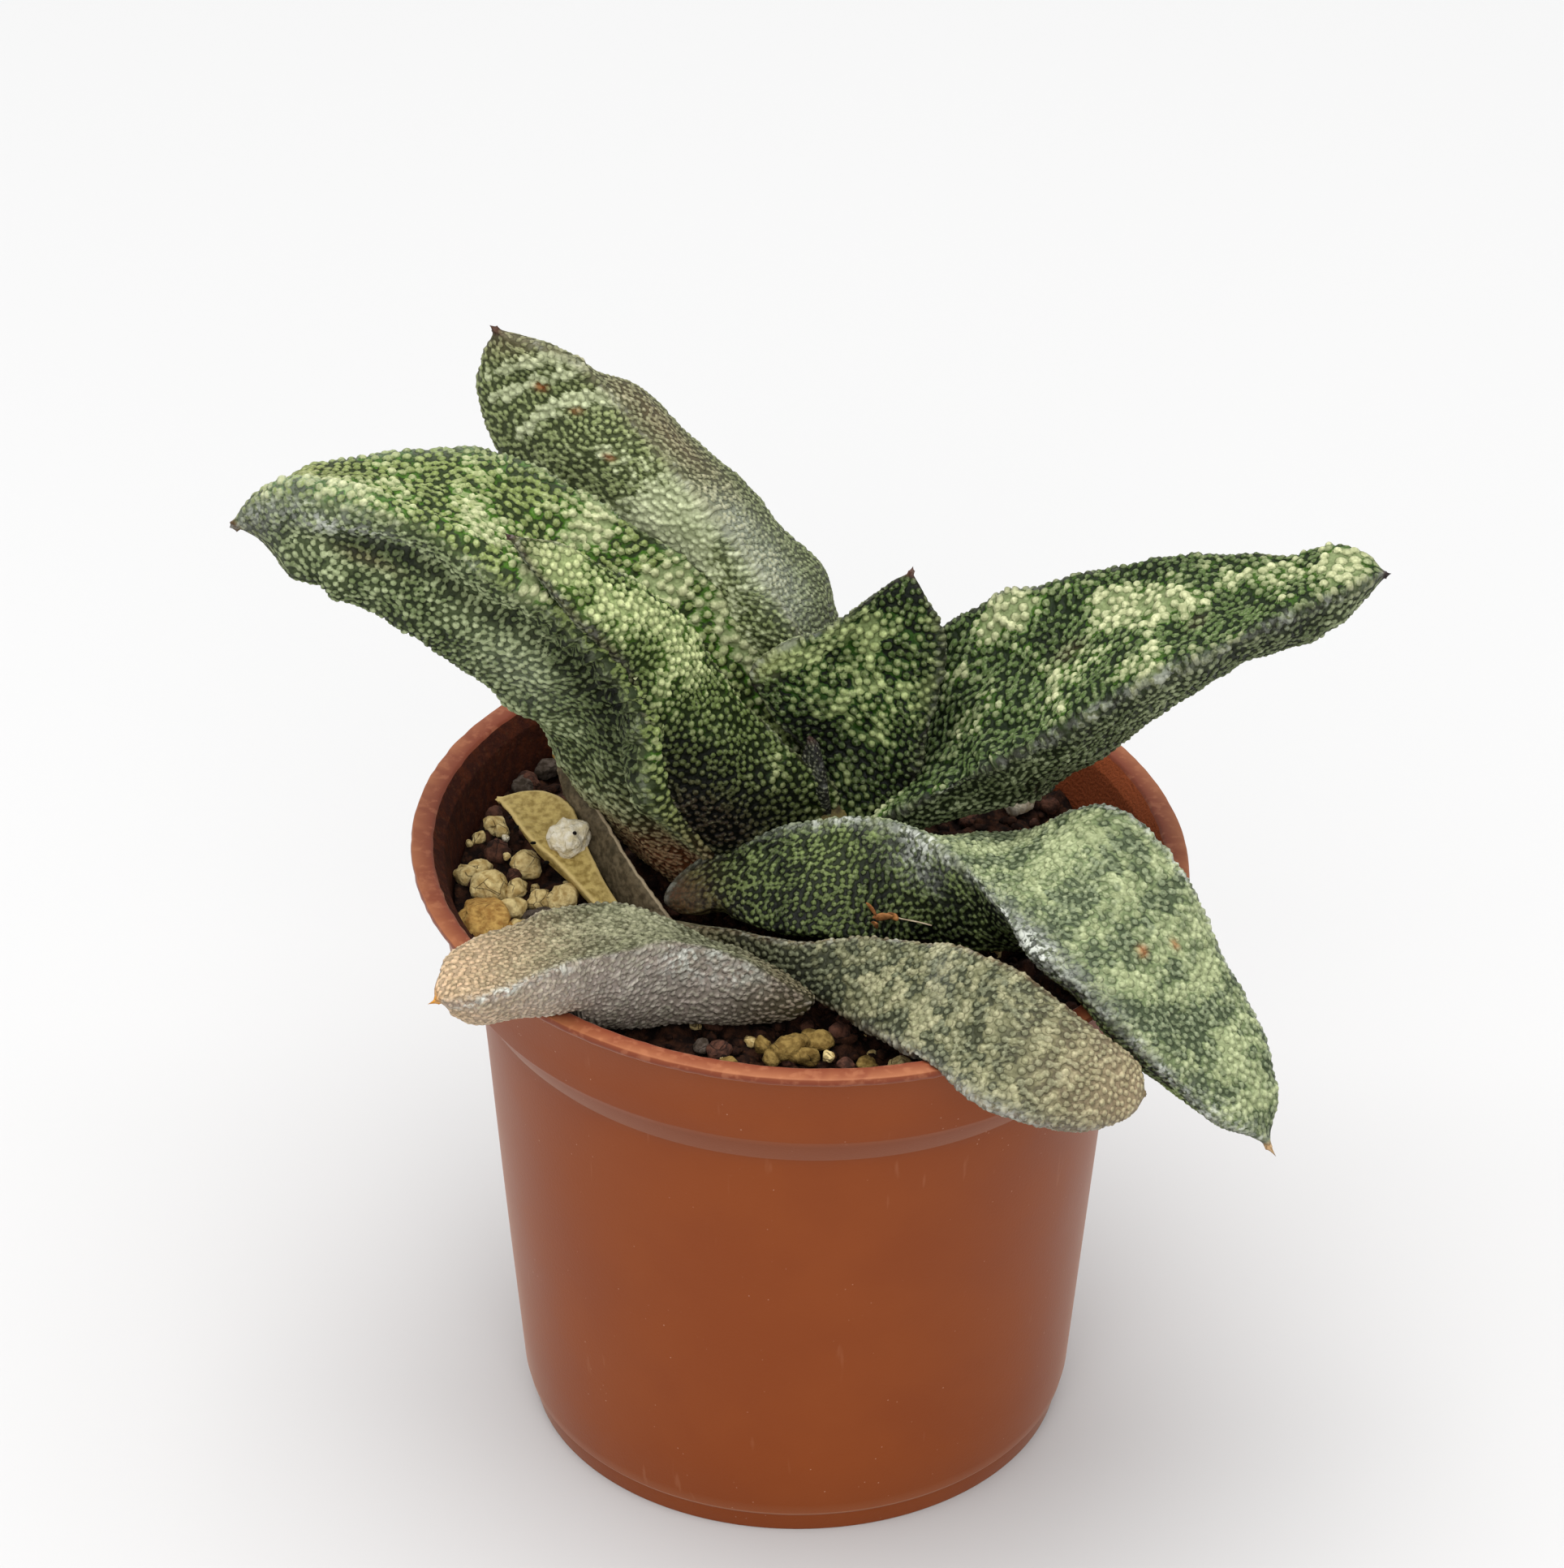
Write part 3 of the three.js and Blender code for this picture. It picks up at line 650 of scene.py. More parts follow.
@dataclass(frozen=True)
class Stone:
    """Broken mineral grain: pumice, akadama or quartz.

    Attributes:
        name: common name of the material.
        light: colour of its raised parts.
        dark: colour of its pits.
        crack: colour of the cracks.
    """

    name: str = "crushed_pumice"
    light: str = "#dac58c"
    dark: str = "#a98e57"
    crack: str = "#3e2f1a"

    def material(self) -> bpy.types.Material:
        """Build the finish of the grains.

        Returns:
            The material. Matt and chalky, with fine dark cracks and pits.
        """
        paint = Paint(self.name, 0.85, shine=0.25)
        colour = paint.layer(paint.ease(paint.grain(0.9, 4), 0.32, 0.68), self.dark, self.light)
        cracks = paint.ease(paint.cells(2.2, "DISTANCE_TO_EDGE"), 0.045, 0.0, 0.9)
        cracked = paint.maths("MULTIPLY", cracks, paint.ease(paint.grain(3, 1), 0.48, 0.58))
        colour = paint.layer(cracked, colour, self.crack)
        return paint.done(colour, paint.grain(0.45, 4), 0.3)


@dataclass(frozen=True)
class DeadLeaf:
    """Dried plant tissue: papery, with fine mottling.

    Attributes:
        name: common name of the material.
        light: colour of its paler parts.
        dark: colour of its mottling.
        spot: colour of its larger stains.
        roughness: of the surface.
        rim: colour along its edges.
    """

    name: str = "dried_leaf"
    light: str = "#b9a261"
    dark: str = "#8e773d"
    spot: str = "#83692f"
    roughness: float = 0.6
    rim: str = "#c6ae70"

    def material(self) -> bpy.types.Material:
        """Build the finish of dead tissue.

        Returns:
            The material. Papery, with fine mottling, darker stains and a paler edge.
        """
        paint = Paint(self.name, self.roughness, shine=0.3)
        mottled = paint.layer(paint.ease(paint.grain(0.8, 4), 0.36, 0.68), self.light, self.dark)
        worn = paint.layer(paint.ease(paint.grain(4, 2), 0.5, 0.68, 0.5), mottled, self.spot)
        rim = paint.ease(paint.marks("zones")[1], 0.15, 0.5, 0.85)
        return paint.done(paint.layer(rim, worn, self.rim), paint.grain(0.6, 3), 0.2)


# ------------------------------------------------------------------ leaves


class Field(Enum):
    """What a mark on a leaf changes."""

    PALE = "pale"
    TINT = "tint"
    BLOOM = "bloom"
    DUST = "dust"
    RUST = "rust"
    BARE = "bare"
    # Painted shade: darkens hollows, undersides and bases where other leaves shade them.
    DEEP = "deep"
    RIDGE = "ridge"


@dataclass(frozen=True)
class Mark:
    """Soft oval area on a leaf.

    Attributes:
        kind: what it changes.
        along: share of the leaf's length at its middle.
        around: place across: 1 right margin, 0 middle of the face, -1 left margin, -2 keel, -3 right
            margin from below.
        length: reach along the leaf in millimetres.
        width: reach across it in millimetres.
        amount: strength, below zero to take away.
        slant: turn in degrees.
    """

    kind: Field
    along: float
    around: float
    length: float
    width: float
    amount: float = 1.0
    slant: float = 0.0


@dataclass(frozen=True)
class Leaf:
    """One thick leaf with a channelled face, two margins and a keel.

    Attributes:
        name: name of the leaf and of the solid that it stands for.
        slot: material slot.
        stations: rows from base to tip, each with the left margin x, y, z, the right margin x, y, z,
            the depth of the keel, its offset as a share of the half width and the depth of the channel.
        round: fullness of the underside.
        lip: height of the rounded margin.
        blunt: share of the length where the tip starts to close.
        mucro: length of the pointed tip.
        skin: its finish.
        pale: how far pale warts cover it, from 0 to 1.
        mottle: how strongly the pale areas come and go.
        pitch: spacing of the warts in millimetres.
        wart: height of the warts in millimetres.
        ripple: height of the slow swellings in millimetres.
        spacing: size of the mesh's faces in millimetres.
        marks: for each kind of area its marks, as rows of what Mark holds after the kind.
        trough: exponent of the channel, higher for a flatter bottom.
        roll: height of the swelling along the left margin in millimetres.
        sharp: how pointed its end is, 0.5 for a round end.
        bands: spacing of the pale cross bands in millimetres, their strength and their slant.
    """

    name: str
    slot: str
    stations: tuple
    round: float
    lip: float
    blunt: float
    mucro: float
    skin: LeafSkin | DeadLeaf
    pale: float = 0.5
    mottle: float = 0.34
    pitch: float = 0.95
    wart: float = 0.32
    ripple: float = 0.3
    spacing: float = 0.3
    marks: dict = field(default_factory=dict)
    trough: float = 2.0
    roll: float = 0.0
    sharp: float = 0.5
    bands: tuple = (8.0, 0.0, 0.0)

    # In millimetres, but for the counts of points and faces.
    SMALLEST = 0.8  # least width and depth of a ring, where the ends close
    HALF = 300  # points of half a ring, before they are spread evenly
    FINEST = 2.4  # least spacing of the warts, in faces of the mesh
    CLEARANCE = 0.02  # kept from the sides of the solids' box
    RIM_START = (41.5, 43.5)  # radii between which the pot's rim begins under a leaf
    RIM_END = (48.2, 49.5)  # radii between which it ends
    RIM_TOP = 79.2  # height that the skin keeps over the rim
    RIM_FOOT = 60.0  # height that the lift starts from beside the rim
    RIM_REACH = (66, 72)  # heights between which the lift sets in

    def sections(self, t: np.ndarray, face: int, under: int) -> np.ndarray:
        """Work out the smooth skin.

        Args:
            t: shares of the length, one per ring.
            face: points across the face.
            under: points around the underside.

        Returns:
            Points in millimetres, ring by ring.
        """
        rows = np.array(self.stations, float)
        row = curve(rows, t)
        step = [curve(rows, t + d)[:, :6].reshape(-1, 2, 3).mean(1) for d in (0.002, -0.002)]
        along = step[0] - step[1]
        along /= np.linalg.norm(along, axis=1)[:, None]
        across = row[:, 3:6] - row[:, :3]
        width = np.linalg.norm(across, axis=1)
        across /= width[:, None]
        up = np.cross(across, along)
        up /= np.linalg.norm(up, axis=1)[:, None]
        middle = (row[:, :3] + row[:, 3:6]) / 2
        q = np.clip((t - self.blunt) / (1 - self.blunt), 0, 1)
        taper = (1 - q * q) ** self.sharp
        taper *= np.sqrt(1 - 0.85 * np.clip(1 - t / 0.035, 0, 1) ** 2)
        width = np.maximum(width * taper, self.SMALLEST)
        depth = np.maximum(row[:, 6] * taper, self.SMALLEST)
        keel = np.clip(row[:, 7], -0.8, 0.8)
        channel = row[:, 8] * np.minimum(1, width / 8)
        angle = np.linspace(0, np.pi, self.HALF)
        s = np.cos(angle)
        reach = np.abs(s) ** (2 / self.round)
        sink = np.clip(np.sin(angle), 0, 1) ** (2 / self.round)
        points = np.zeros((len(t), face + under, 3))
        for i, w in enumerate(width):
            lip = min(self.lip, 0.12 * w) * np.sqrt(1 - np.abs(s) ** 6)
            rise = lip - channel[i] * (1 - np.abs(s) ** self.trough)
            x = np.where(s > 0, keel[i] - (1 + keel[i]) * reach, keel[i] + (1 - keel[i]) * reach)
            loop = np.stack([np.concatenate([s, x]) * w / 2, np.concatenate([rise, -depth[i] * sink])])
            if self.roll:
                loop += self.rolled(loop, t[i])
            halves = even(*loop[:, :self.HALF + 1], face), even(*loop[:, self.HALF:], under)
            x, y = np.concatenate(halves, axis=1)
            points[i] = middle[i] + x[:, None] * across[i] + y[:, None] * up[i]
        return points

    def rolled(self, loop: np.ndarray, t: float) -> np.ndarray:
        """Swell a ring along its left margin, with a hollow beneath the swelling.

        Args:
            loop: the ring's two coordinates, the face before the underside.
            t: its share of the length.

        Returns:
            How far each point moves.
        """
        step = np.gradient(loop, axis=1)
        far = np.cumsum(np.hypot(*step))
        far -= far[self.HALF]
        bulge = np.exp(-(far / 2.7) ** 4) - 0.55 * np.exp(-((far - 4.6) / 1.5) ** 2)
        bulge *= self.roll * smooth(t, 0.02, 0.2) * (1 - 0.8 * smooth(t, 0.8, 0.98))
        return bulge * np.stack([step[1], -step[0]]) / np.maximum(np.hypot(*step), 1e-6)

    def shares(self, count: int) -> np.ndarray:
        """Space the rings evenly along the leaf, wider apart in its buried base.

        Args:
            count: number of rings.

        Returns:
            Shares of the length.
        """
        t = np.linspace(0, 1, 400)
        line = self.sections(t, 8, 12).mean(1)
        steps = np.linalg.norm(np.diff(line, axis=0), axis=1)
        steps *= 0.5 + 0.5 * smooth(t[1:], 0.03, 0.1)
        run = np.concatenate([[0], np.cumsum(steps)])
        return np.interp(np.linspace(0, run[-1], count), run, t)

    def outward(self, points: np.ndarray) -> np.ndarray:
        """Find the outward direction of a skin, ring by ring."""
        normal = np.cross(np.gradient(points, axis=0), np.roll(points, -1, 1) - np.roll(points, 1, 1))
        return normal / np.maximum(np.linalg.norm(normal, axis=-1, keepdims=True), 1e-9)

    def warts(self, points: np.ndarray, pitch: np.ndarray, seed: int) -> tuple[np.ndarray, np.ndarray]:
        """Scatter round warts over the skin, none closer than the pitch.

        Args:
            points: skin as rows of points.
            pitch: spacing at each point.
            seed: number of the pattern.

        Returns:
            Distance of each point from its wart's middle as a share of the wart's radius, and the
            point in the middle of its wart.
        """
        tree = kdtree.KDTree(len(points))
        for i, p in enumerate(points):
            tree.insert(p, i)
        tree.balance()
        rng = np.random.default_rng(seed)
        free = np.ones(len(points), bool)
        seeds = []
        for i in rng.permutation(len(points)):
            if free[i]:
                seeds.append(i)
                near = [hit[1] for hit in tree.find_range(points[i], pitch[i])]
                free[near] = False
        middles = kdtree.KDTree(len(seeds))
        for k, i in enumerate(seeds):
            middles.insert(points[i], k)
        middles.balance()
        radius = pitch[seeds] * rng.uniform(0.53, 0.66, len(seeds))
        found = [middles.find(p) for p in points]
        owner = np.array([hit[1] for hit in found])
        distance = np.array([hit[2] for hit in found])
        return np.minimum(distance / radius[owner], 1.6), np.array(seeds)[owner]

    def build(self, seed: int) -> bpy.types.Mesh:
        """Make the leaf's mesh with its warts, and store what its finish needs.

        Args:
            seed: number of its patterns.

        Returns:
            The mesh, in place.
        """
        coarse = self.sections(np.linspace(0, 1, 60), 20, 30)
        around = np.linalg.norm(np.roll(coarse, -1, 1) - coarse, axis=-1)
        length = np.linalg.norm(np.diff(coarse.mean(1), axis=0), axis=-1).sum() * 1.06
        face = int(around[:, :20].sum(1).max() / self.spacing)
        under = int(around[:, 20:].sum(1).max() / self.spacing / 1.25)
        t = self.shares(int(length / self.spacing))
        skin = self.sections(t, face, under)
        rings, count, _ = skin.shape
        normal = self.outward(skin)
        place = np.concatenate([1 - 2 * np.arange(face) / face, -1 - 2 * np.arange(under) / under])
        place = np.broadcast_to(place, (rings, count))
        run = np.linalg.norm(np.diff(skin.mean(1), axis=0), axis=-1)
        run = np.concatenate([[0], np.cumsum(run)])[:, None]
        girth = np.linalg.norm(np.roll(skin, -1, 1) - skin, axis=-1)
        wide = girth[:, :face].sum(1)[:, None]
        deep = girth[:, face:].sum(1)[:, None]
        flat = np.abs(place)
        to_margin = np.where(flat <= 1, (1 - flat) * wide / 2, np.minimum(flat - 1, 3 - flat) * deep / 2)
        on_face = smooth(np.where(flat <= 1, to_margin, -to_margin), -1.2, 0.6)
        fields = {kind: np.zeros((rings, count)) for kind in Field}
        swell = cloud(skin, 6.5, seed + 3, 2)
        fields[Field.PALE] += self.pale + self.mottle * (cloud(skin, 4.0, seed, 3) + 0.6 * swell)
        spacing, strength, slant = self.bands
        across = np.where(flat <= 1, place * wide / 2, 0)
        wave = run + slant * across + 0.5 * spacing * cloud(skin, 9, seed + 21, 1)
        fields[Field.PALE] += strength * np.sin(TURN * wave / spacing)
        for mark in (Mark(kind, *row) for kind, rows in self.marks.items() for row in rows):
            du = run - np.interp(mark.along, t, run[:, 0])
            dv = ((place - mark.around + 2) % 4 - 2) * (wide + deep) / 4
            turn = math.radians(mark.slant)
            a = (du * math.cos(turn) + dv * math.sin(turn)) / mark.length
            b = (dv * math.cos(turn) - du * math.sin(turn)) / mark.width
            fields[mark.kind] += mark.amount * np.exp(-(a * a + b * b))
        rough = 0.5 + 0.5 * cloud(skin, 1.6, seed + 5, 2)
        near = 0.85 + 0.15 * smooth(to_margin, 0.4, 3.0)
        large = 1 + 0.2 * cloud(skin, 5, seed + 9, 1) + 0.3 * np.clip(fields[Field.PALE] - 0.4, -0.6, 0.6)
        pitch = self.pitch * (0.74 + 0.26 * on_face) * near * large
        pitch = np.maximum(pitch, self.FINEST * self.spacing)
        reach, owner = self.warts(skin.reshape(-1, 3), pitch.ravel(), seed)
        reach = reach.reshape(rings, count)
        chance = 0.28 * lattice(np.stack([owner] * 3, -1), seed)
        share = smooth(fields[Field.PALE].ravel()[owner] + chance, 0.2, 0.8).reshape(rings, count)
        tone = 0.5 + 0.5 * lattice(np.stack([owner, owner // 7, owner // 3], -1), seed + 1)
        tone = tone.reshape(rings, count)
        bare = np.clip(fields[Field.BARE], 0, 1)
        reach = reach * (1 - bare) + 0.8 * bare
        dome = np.clip(1 - reach**2, 0, 1) ** 0.6 * (1 - bare)
        narrow = np.minimum(1, wide / 11) * (1 - smooth(run, run[-1] - 2.2, run[-1] - 0.4))
        height = self.wart * (0.75 + 0.25 * on_face) * (0.75 + 0.35 * share) * (1.2 - 0.4 * tone)
        slow = self.ripple * swell * (1 - 0.7 * smooth(t, 0.78, 1.0))[:, None]
        slow += 0.4 * fields[Field.RIDGE] * np.sin(TURN * (run + 1.4 * cloud(skin, 4, seed + 31, 1)) / 2.2)
        moved = skin + normal * ((dome * height + slow) * narrow)[..., None]
        moved = self.closed(moved, skin[-1].mean(0) - skin[-8].mean(0))
        mesh = sheet(self.name, np.concatenate([moved, moved[:, :1]], axis=1))
        edge = np.exp(-(to_margin / 0.7) ** 2)
        end = smooth(run, run[-1, 0] - 1.1, run[-1, 0] - 0.2)
        bands = {kind: np.clip(value, 0, 1) for kind, value in fields.items()}
        dust = bands[Field.DUST] * (0.4 + 0.6 * smooth(rough, 0.4, 0.7))
        dust += 0.15 * edge * smooth(rough, 0.4, 0.8)
        self.note(mesh, "wart_look", reach, share, tone)
        self.note(mesh, "zones", on_face, edge * 0.6, dust)
        self.note(mesh, "stains", bands[Field.TINT], bands[Field.BLOOM], bands[Field.RUST])
        # The second number is the painted shade.
        self.note(mesh, "ends", np.broadcast_to(end, (rings, count)), bands[Field.DEEP])
        finish_mesh(mesh)
        return mesh

    def closed(self, rings: np.ndarray, axis: np.ndarray) -> np.ndarray:
        """Close the base, draw out the pointed tip and keep the leaf inside the solids' box.

        Args:
            rings: points of the skin, ring by ring.
            axis: direction of the tip.

        Returns:
            The points, with one more ring at the base and four more at the tip.
        """
        ends = np.repeat(rings[[0, -1]].mean(1, keepdims=True), rings.shape[1], axis=1)
        point = ends[1] + axis / max(np.linalg.norm(axis), 1e-6) * self.mucro
        spike = [rings[-1] * (1 - f) + (ends[1] * (1 - f) + point * f) * f for f in (0.3, 0.55, 0.78)]
        low, high = np.array(CAD_BOX) / MM
        rings = np.concatenate([ends[:1], rings, np.stack([*spike, point])])
        return self.off_the_rim(np.clip(rings, low + self.CLEARANCE, high - self.CLEARANCE))

    @staticmethod
    def note(mesh: bpy.types.Mesh, name: str, *values: np.ndarray) -> None:
        """Store three fields of the skin, carried on over its closed base and its pointed tip."""
        grown = [np.pad(value, ((1, 4), (0, 0)), mode="edge") for value in values]
        write_marks(mesh, name, *[np.pad(value, ((0, 0), (0, 1)), mode="wrap") for value in grown])

    def off_the_rim(self, points: np.ndarray) -> np.ndarray:
        """Lift what would sink into the pot's rim on to it.

        Args:
            points: the skin's points.

        Returns:
            The points, none of them inside the rim.
        """
        radius, height = Pot.radius_of(points), points[..., 2]
        inside = smooth(radius, *self.RIM_START) * (1 - smooth(radius, *self.RIM_END))
        floor = self.RIM_FOOT + (self.RIM_TOP - self.RIM_FOOT) * inside
        low = smooth(height, *self.RIM_REACH)
        lifted = points.copy()
        raised = np.maximum(height, floor * low + height * (1 - low))
        lifted[..., 2] = np.where(inside > 0.02, raised, height)
        return lifted

    def make(self, seed: int) -> None:
        """Build and dress the leaf.

        Args:
            seed: number of its patterns.
        """
        if isinstance(self.skin, LeafSkin):
            finish = self.skin.material(f"waxy_leaf_skin_{self.name}")
        else:
            finish = self.skin.material()
        piece(f"{self.name}_skin", self.build(seed), finish, self.slot, self.name)


# ------------------------------------------------------------------ pot


@dataclass(frozen=True)
class Pot:
    """Thin moulded pot with a foot, a flare, a collar and a flat lip, slightly out of round.

    Attributes:
        outside: wall from the base up, as radius and height.
        inside: wall from the lip down.
        floor: thickness of its floor.
        segments: steps around.
        drains: number of holes in its floor.
        drain_radius: of each hole.
        drain_circle: radius of the circle that they stand on.
        rounding: of its sharp edges.
    """

    outside: tuple = (
        (32.7, 0), (32.9, 2.4), (33.6, 3.1), (34.0, 4.8), (38.3, 51.3), (39.3, 61.2), (40.0, 61.9),
        (42.0, 65.0), (43.05, 66.4), (43.5, 69.6), (44.6, 77.0), (47.2, 77.7), (47.5, 78.2), (47.4, 78.9),
    )
    inside: tuple = (
        (45.1, 78.9), (44.8, 78.6), (43.4, 77.0), (41.9, 66.6), (38.8, 62.2), (38.1, 61.2),
        (37.1, 51.3), (32.8, 5.0), (31.6, 1.6),
    )
    floor: float = 1.6
    segments: int = 240
    drains: int = 6
    drain_radius: float = 3.2
    drain_circle: float = 20
    rounding: float = 0.16

    OVAL = 0.03  # share by which the mouth is longer one way and shorter the other
    AXIS = math.radians(-50)  # the longer way
    TOP = 78.9  # height of the lip
    ROUND = 20  # height up to which the wall is round
    # The flare is also darkened with painted shade.
    FLARE = 63.6  # middle of the flare, which is matt
    FLARE_EDGE = 61.6  # its lower edge, which catches a little light
    FOOT = 3.0  # top of the foot, which catches more

    @staticmethod
    def radius_of(points: np.ndarray) -> np.ndarray:
        """Give points their radius in the pot before its squeeze.

        Args:
            points: positions in millimetres.

        Returns:
            The radius that each would have in a round pot.
        """
        rise = smooth(points[..., 2], Pot.ROUND, Pot.TOP) * Pot.OVAL
        angle = np.arctan2(points[..., 1], points[..., 0]) - Pot.AXIS
        flat = np.hypot(points[..., 0], points[..., 1])
        return np.hypot(flat * np.cos(angle) / (1 + rise), flat * np.sin(angle) / (1 - rise))

    @staticmethod
    def squeeze(points: np.ndarray) -> np.ndarray:
        """Make a round form slightly oval towards its top.

        Args:
            points: positions in millimetres around the Z axis.

        Returns:
            The moved positions.
        """
        rise = smooth(points[:, 2], Pot.ROUND, Pot.TOP) * Pot.OVAL
        c, s = math.cos(Pot.AXIS), math.sin(Pot.AXIS)
        along = (points[:, 0] * c + points[:, 1] * s) * (1 + rise)
        aside = (points[:, 1] * c - points[:, 0] * s) * (1 - rise)
        return np.stack([along * c - aside * s, along * s + aside * c, points[:, 2]], -1)

    def build(self) -> bpy.types.Mesh:
        """Turn the wall, round its edges, cut the drain holes and roughen the lip.

        Returns:
            The mesh, in place.
        """
        bm = turned([(0.0, 0.0), *self.outside, *self.inside, (0.0, self.floor)], self.segments)
        bmesh.ops.recalc_face_normals(bm, faces=bm.faces)
        rings = [e for e in bm.edges if self.bent(e)]
        bmesh.ops.bevel(bm, geom=rings, offset=self.rounding * MM, offset_type="OFFSET", segments=2,
                        profile=0.5, affect="EDGES", material=-1, clamp_overlap=True)
        tall = [e for e in bm.edges if abs(e.verts[0].co.z - e.verts[1].co.z) > 8 * MM]
        bmesh.ops.subdivide_edges(bm, edges=tall, cuts=7, use_grid_fill=True)
        mesh = mesh_of(bm, "pot_wall")
        self.pierce(mesh)
        co = self.squeeze(positions(mesh))
        radius = np.hypot(co[:, 0], co[:, 1])[:, None]
        wobble = 0.07 * cloud(co, 5, 31, 2) * smooth(co[:, 2], 60, 78)
        wobble += 0.14 * cloud(co, 1.3, 33, 2) * smooth(co[:, 2], 76.8, 77.6)
        co[:, :2] -= co[:, :2] / np.maximum(radius, 1) * np.abs(wobble)[:, None]
        write_positions(mesh, co)
        self.wear(mesh, self.radius_of(co), co[:, 2])
        finish_mesh(mesh)
        return mesh

    def wall_at(self, height: np.ndarray) -> np.ndarray:
        """Give the inner radius of the wall at each height."""
        radii, heights = zip(*self.inside[::-1])
        return np.interp(height, heights, radii)

    def wear(self, mesh: bpy.types.Mesh, radius: np.ndarray, height: np.ndarray) -> None:
        """Store where the wall is shaded, worn or catches the light.

        Args:
            mesh: the pot.
            radius: of each vertex, before the squeeze.
            height: of each vertex.
        """
        # Painted shade: the inside of the wall, and the flare that faces down under the collar.
        within = 1 - smooth(radius - self.wall_at(height), 0.3, 1.0)
        within *= (height < 78.4) & (height > 1.0)
        within += 0.5 * np.exp(-((height - self.FLARE) / 2.2) ** 2) * (radius > 39)
        line = np.exp(-((height - self.FOOT) / 0.22) ** 2) * (radius > 33)
        line += np.exp(-((height - self.TOP) / 0.12) ** 2) * smooth(radius, 47.0, 47.3)
        line += 0.18 * np.exp(-((height - self.FLARE_EDGE) / 0.25) ** 2) * (radius > 39)
        write_marks(mesh, "wall", within, smooth(height, 77.4, 78.3), np.clip(line, 0, 1) * 0.7)

    @staticmethod
    def bent(edge: bmesh.types.BMEdge) -> bool:
        """Tell whether an edge runs around the pot where its wall turns sharply."""
        level = abs(edge.verts[0].co.z - edge.verts[1].co.z) < 1e-7
        return level and len(edge.link_faces) == 2 and edge.calc_face_angle(0) > 0.25

    def pierce(self, mesh: bpy.types.Mesh) -> None:
        """Cut the drain holes through the floor.

        Args:
            mesh: the pot before its squeeze.
        """
        bm = bmesh.new()
        for i in range(self.drains):
            angle = TURN * (i + 0.5) / self.drains
            spot = (self.drain_circle * MM * math.cos(angle), self.drain_circle * MM * math.sin(angle), 0)
            bmesh.ops.create_cone(bm, cap_ends=True, segments=32, radius1=self.drain_radius * MM,
                                  radius2=self.drain_radius * MM, depth=0.02, matrix=Matrix.Translation(spot))
        cutter = mesh_of(bm, "drill")
        scene = bpy.context.scene.collection
        tools = [bpy.data.objects.new(n, m) for n, m in (("blank", mesh), ("drill", cutter))]
        for tool in tools:
            scene.objects.link(tool)
        cut = tools[0].modifiers.new("holes", "BOOLEAN")
        cut.object = tools[1]
        cut.operation = "DIFFERENCE"
        cut.solver = "EXACT"
        blank = tools[0].evaluated_get(bpy.context.evaluated_depsgraph_get())
        made = bpy.data.meshes.new_from_object(blank)
        bm = bmesh.new()
        bm.from_mesh(made)
        bm.to_mesh(mesh)
        bm.free()
        for tool in tools:
            bpy.data.objects.remove(tool)
        bpy.data.meshes.remove(cutter)
        bpy.data.meshes.remove(made)

    def make(self) -> None:
        """Build and dress the pot. The inside of its wall has a rough material of its own, its dark colour
        painted shade, lighter towards +X as painted light.
        """
        mesh = self.build()
        piece("pot_wall", mesh, PotPlastic().material(), "pot_plastic", "pot")
        # The inner wall: rough, its dark colours painted shade, lighter towards +X as painted light.
        stains = Peat("#34160d", "#48200f", "peat_stained_polypropylene", "#8a4526")
        mesh.materials.append(stains.material())
        middle = np.zeros(len(mesh.polygons) * 3)
        mesh.polygons.foreach_get("center", middle)
        middle = middle.reshape(-1, 3) / MM
        stained = self.radius_of(middle) < self.wall_at(middle[:, 2]) + 0.4
        stained &= (middle[:, 2] > 1.2) & (middle[:, 2] < 78.3)
        mesh.polygons.foreach_set("material_index", stained.astype(np.int32))


# ------------------------------------------------------------------ soil


class Rock(Enum):
    """Kinds of loose grain on the soil."""

    PUMICE = Stone()
    OCHRE = Stone("baked_clay_granule", "#c79f58", "#996f36", "#5a3d1c")
    YELLOW = Stone("yellow_pumice", "#88703c", "#5e481d", "#33260c")
    BASALT = Stone("weathered_lava", "#5a4f46", "#33291f", "#1c140f")
    QUARTZ = Stone("quartz_pebble", "#e2dac6", "#cdbf9a", "#a3946c")
    BARK = Stone("composted_bark", "#59382a", "#2e1a12", "#140a07")


PUMICE, OCHRE, YELLOW, BASALT, QUARTZ, BARK = Rock


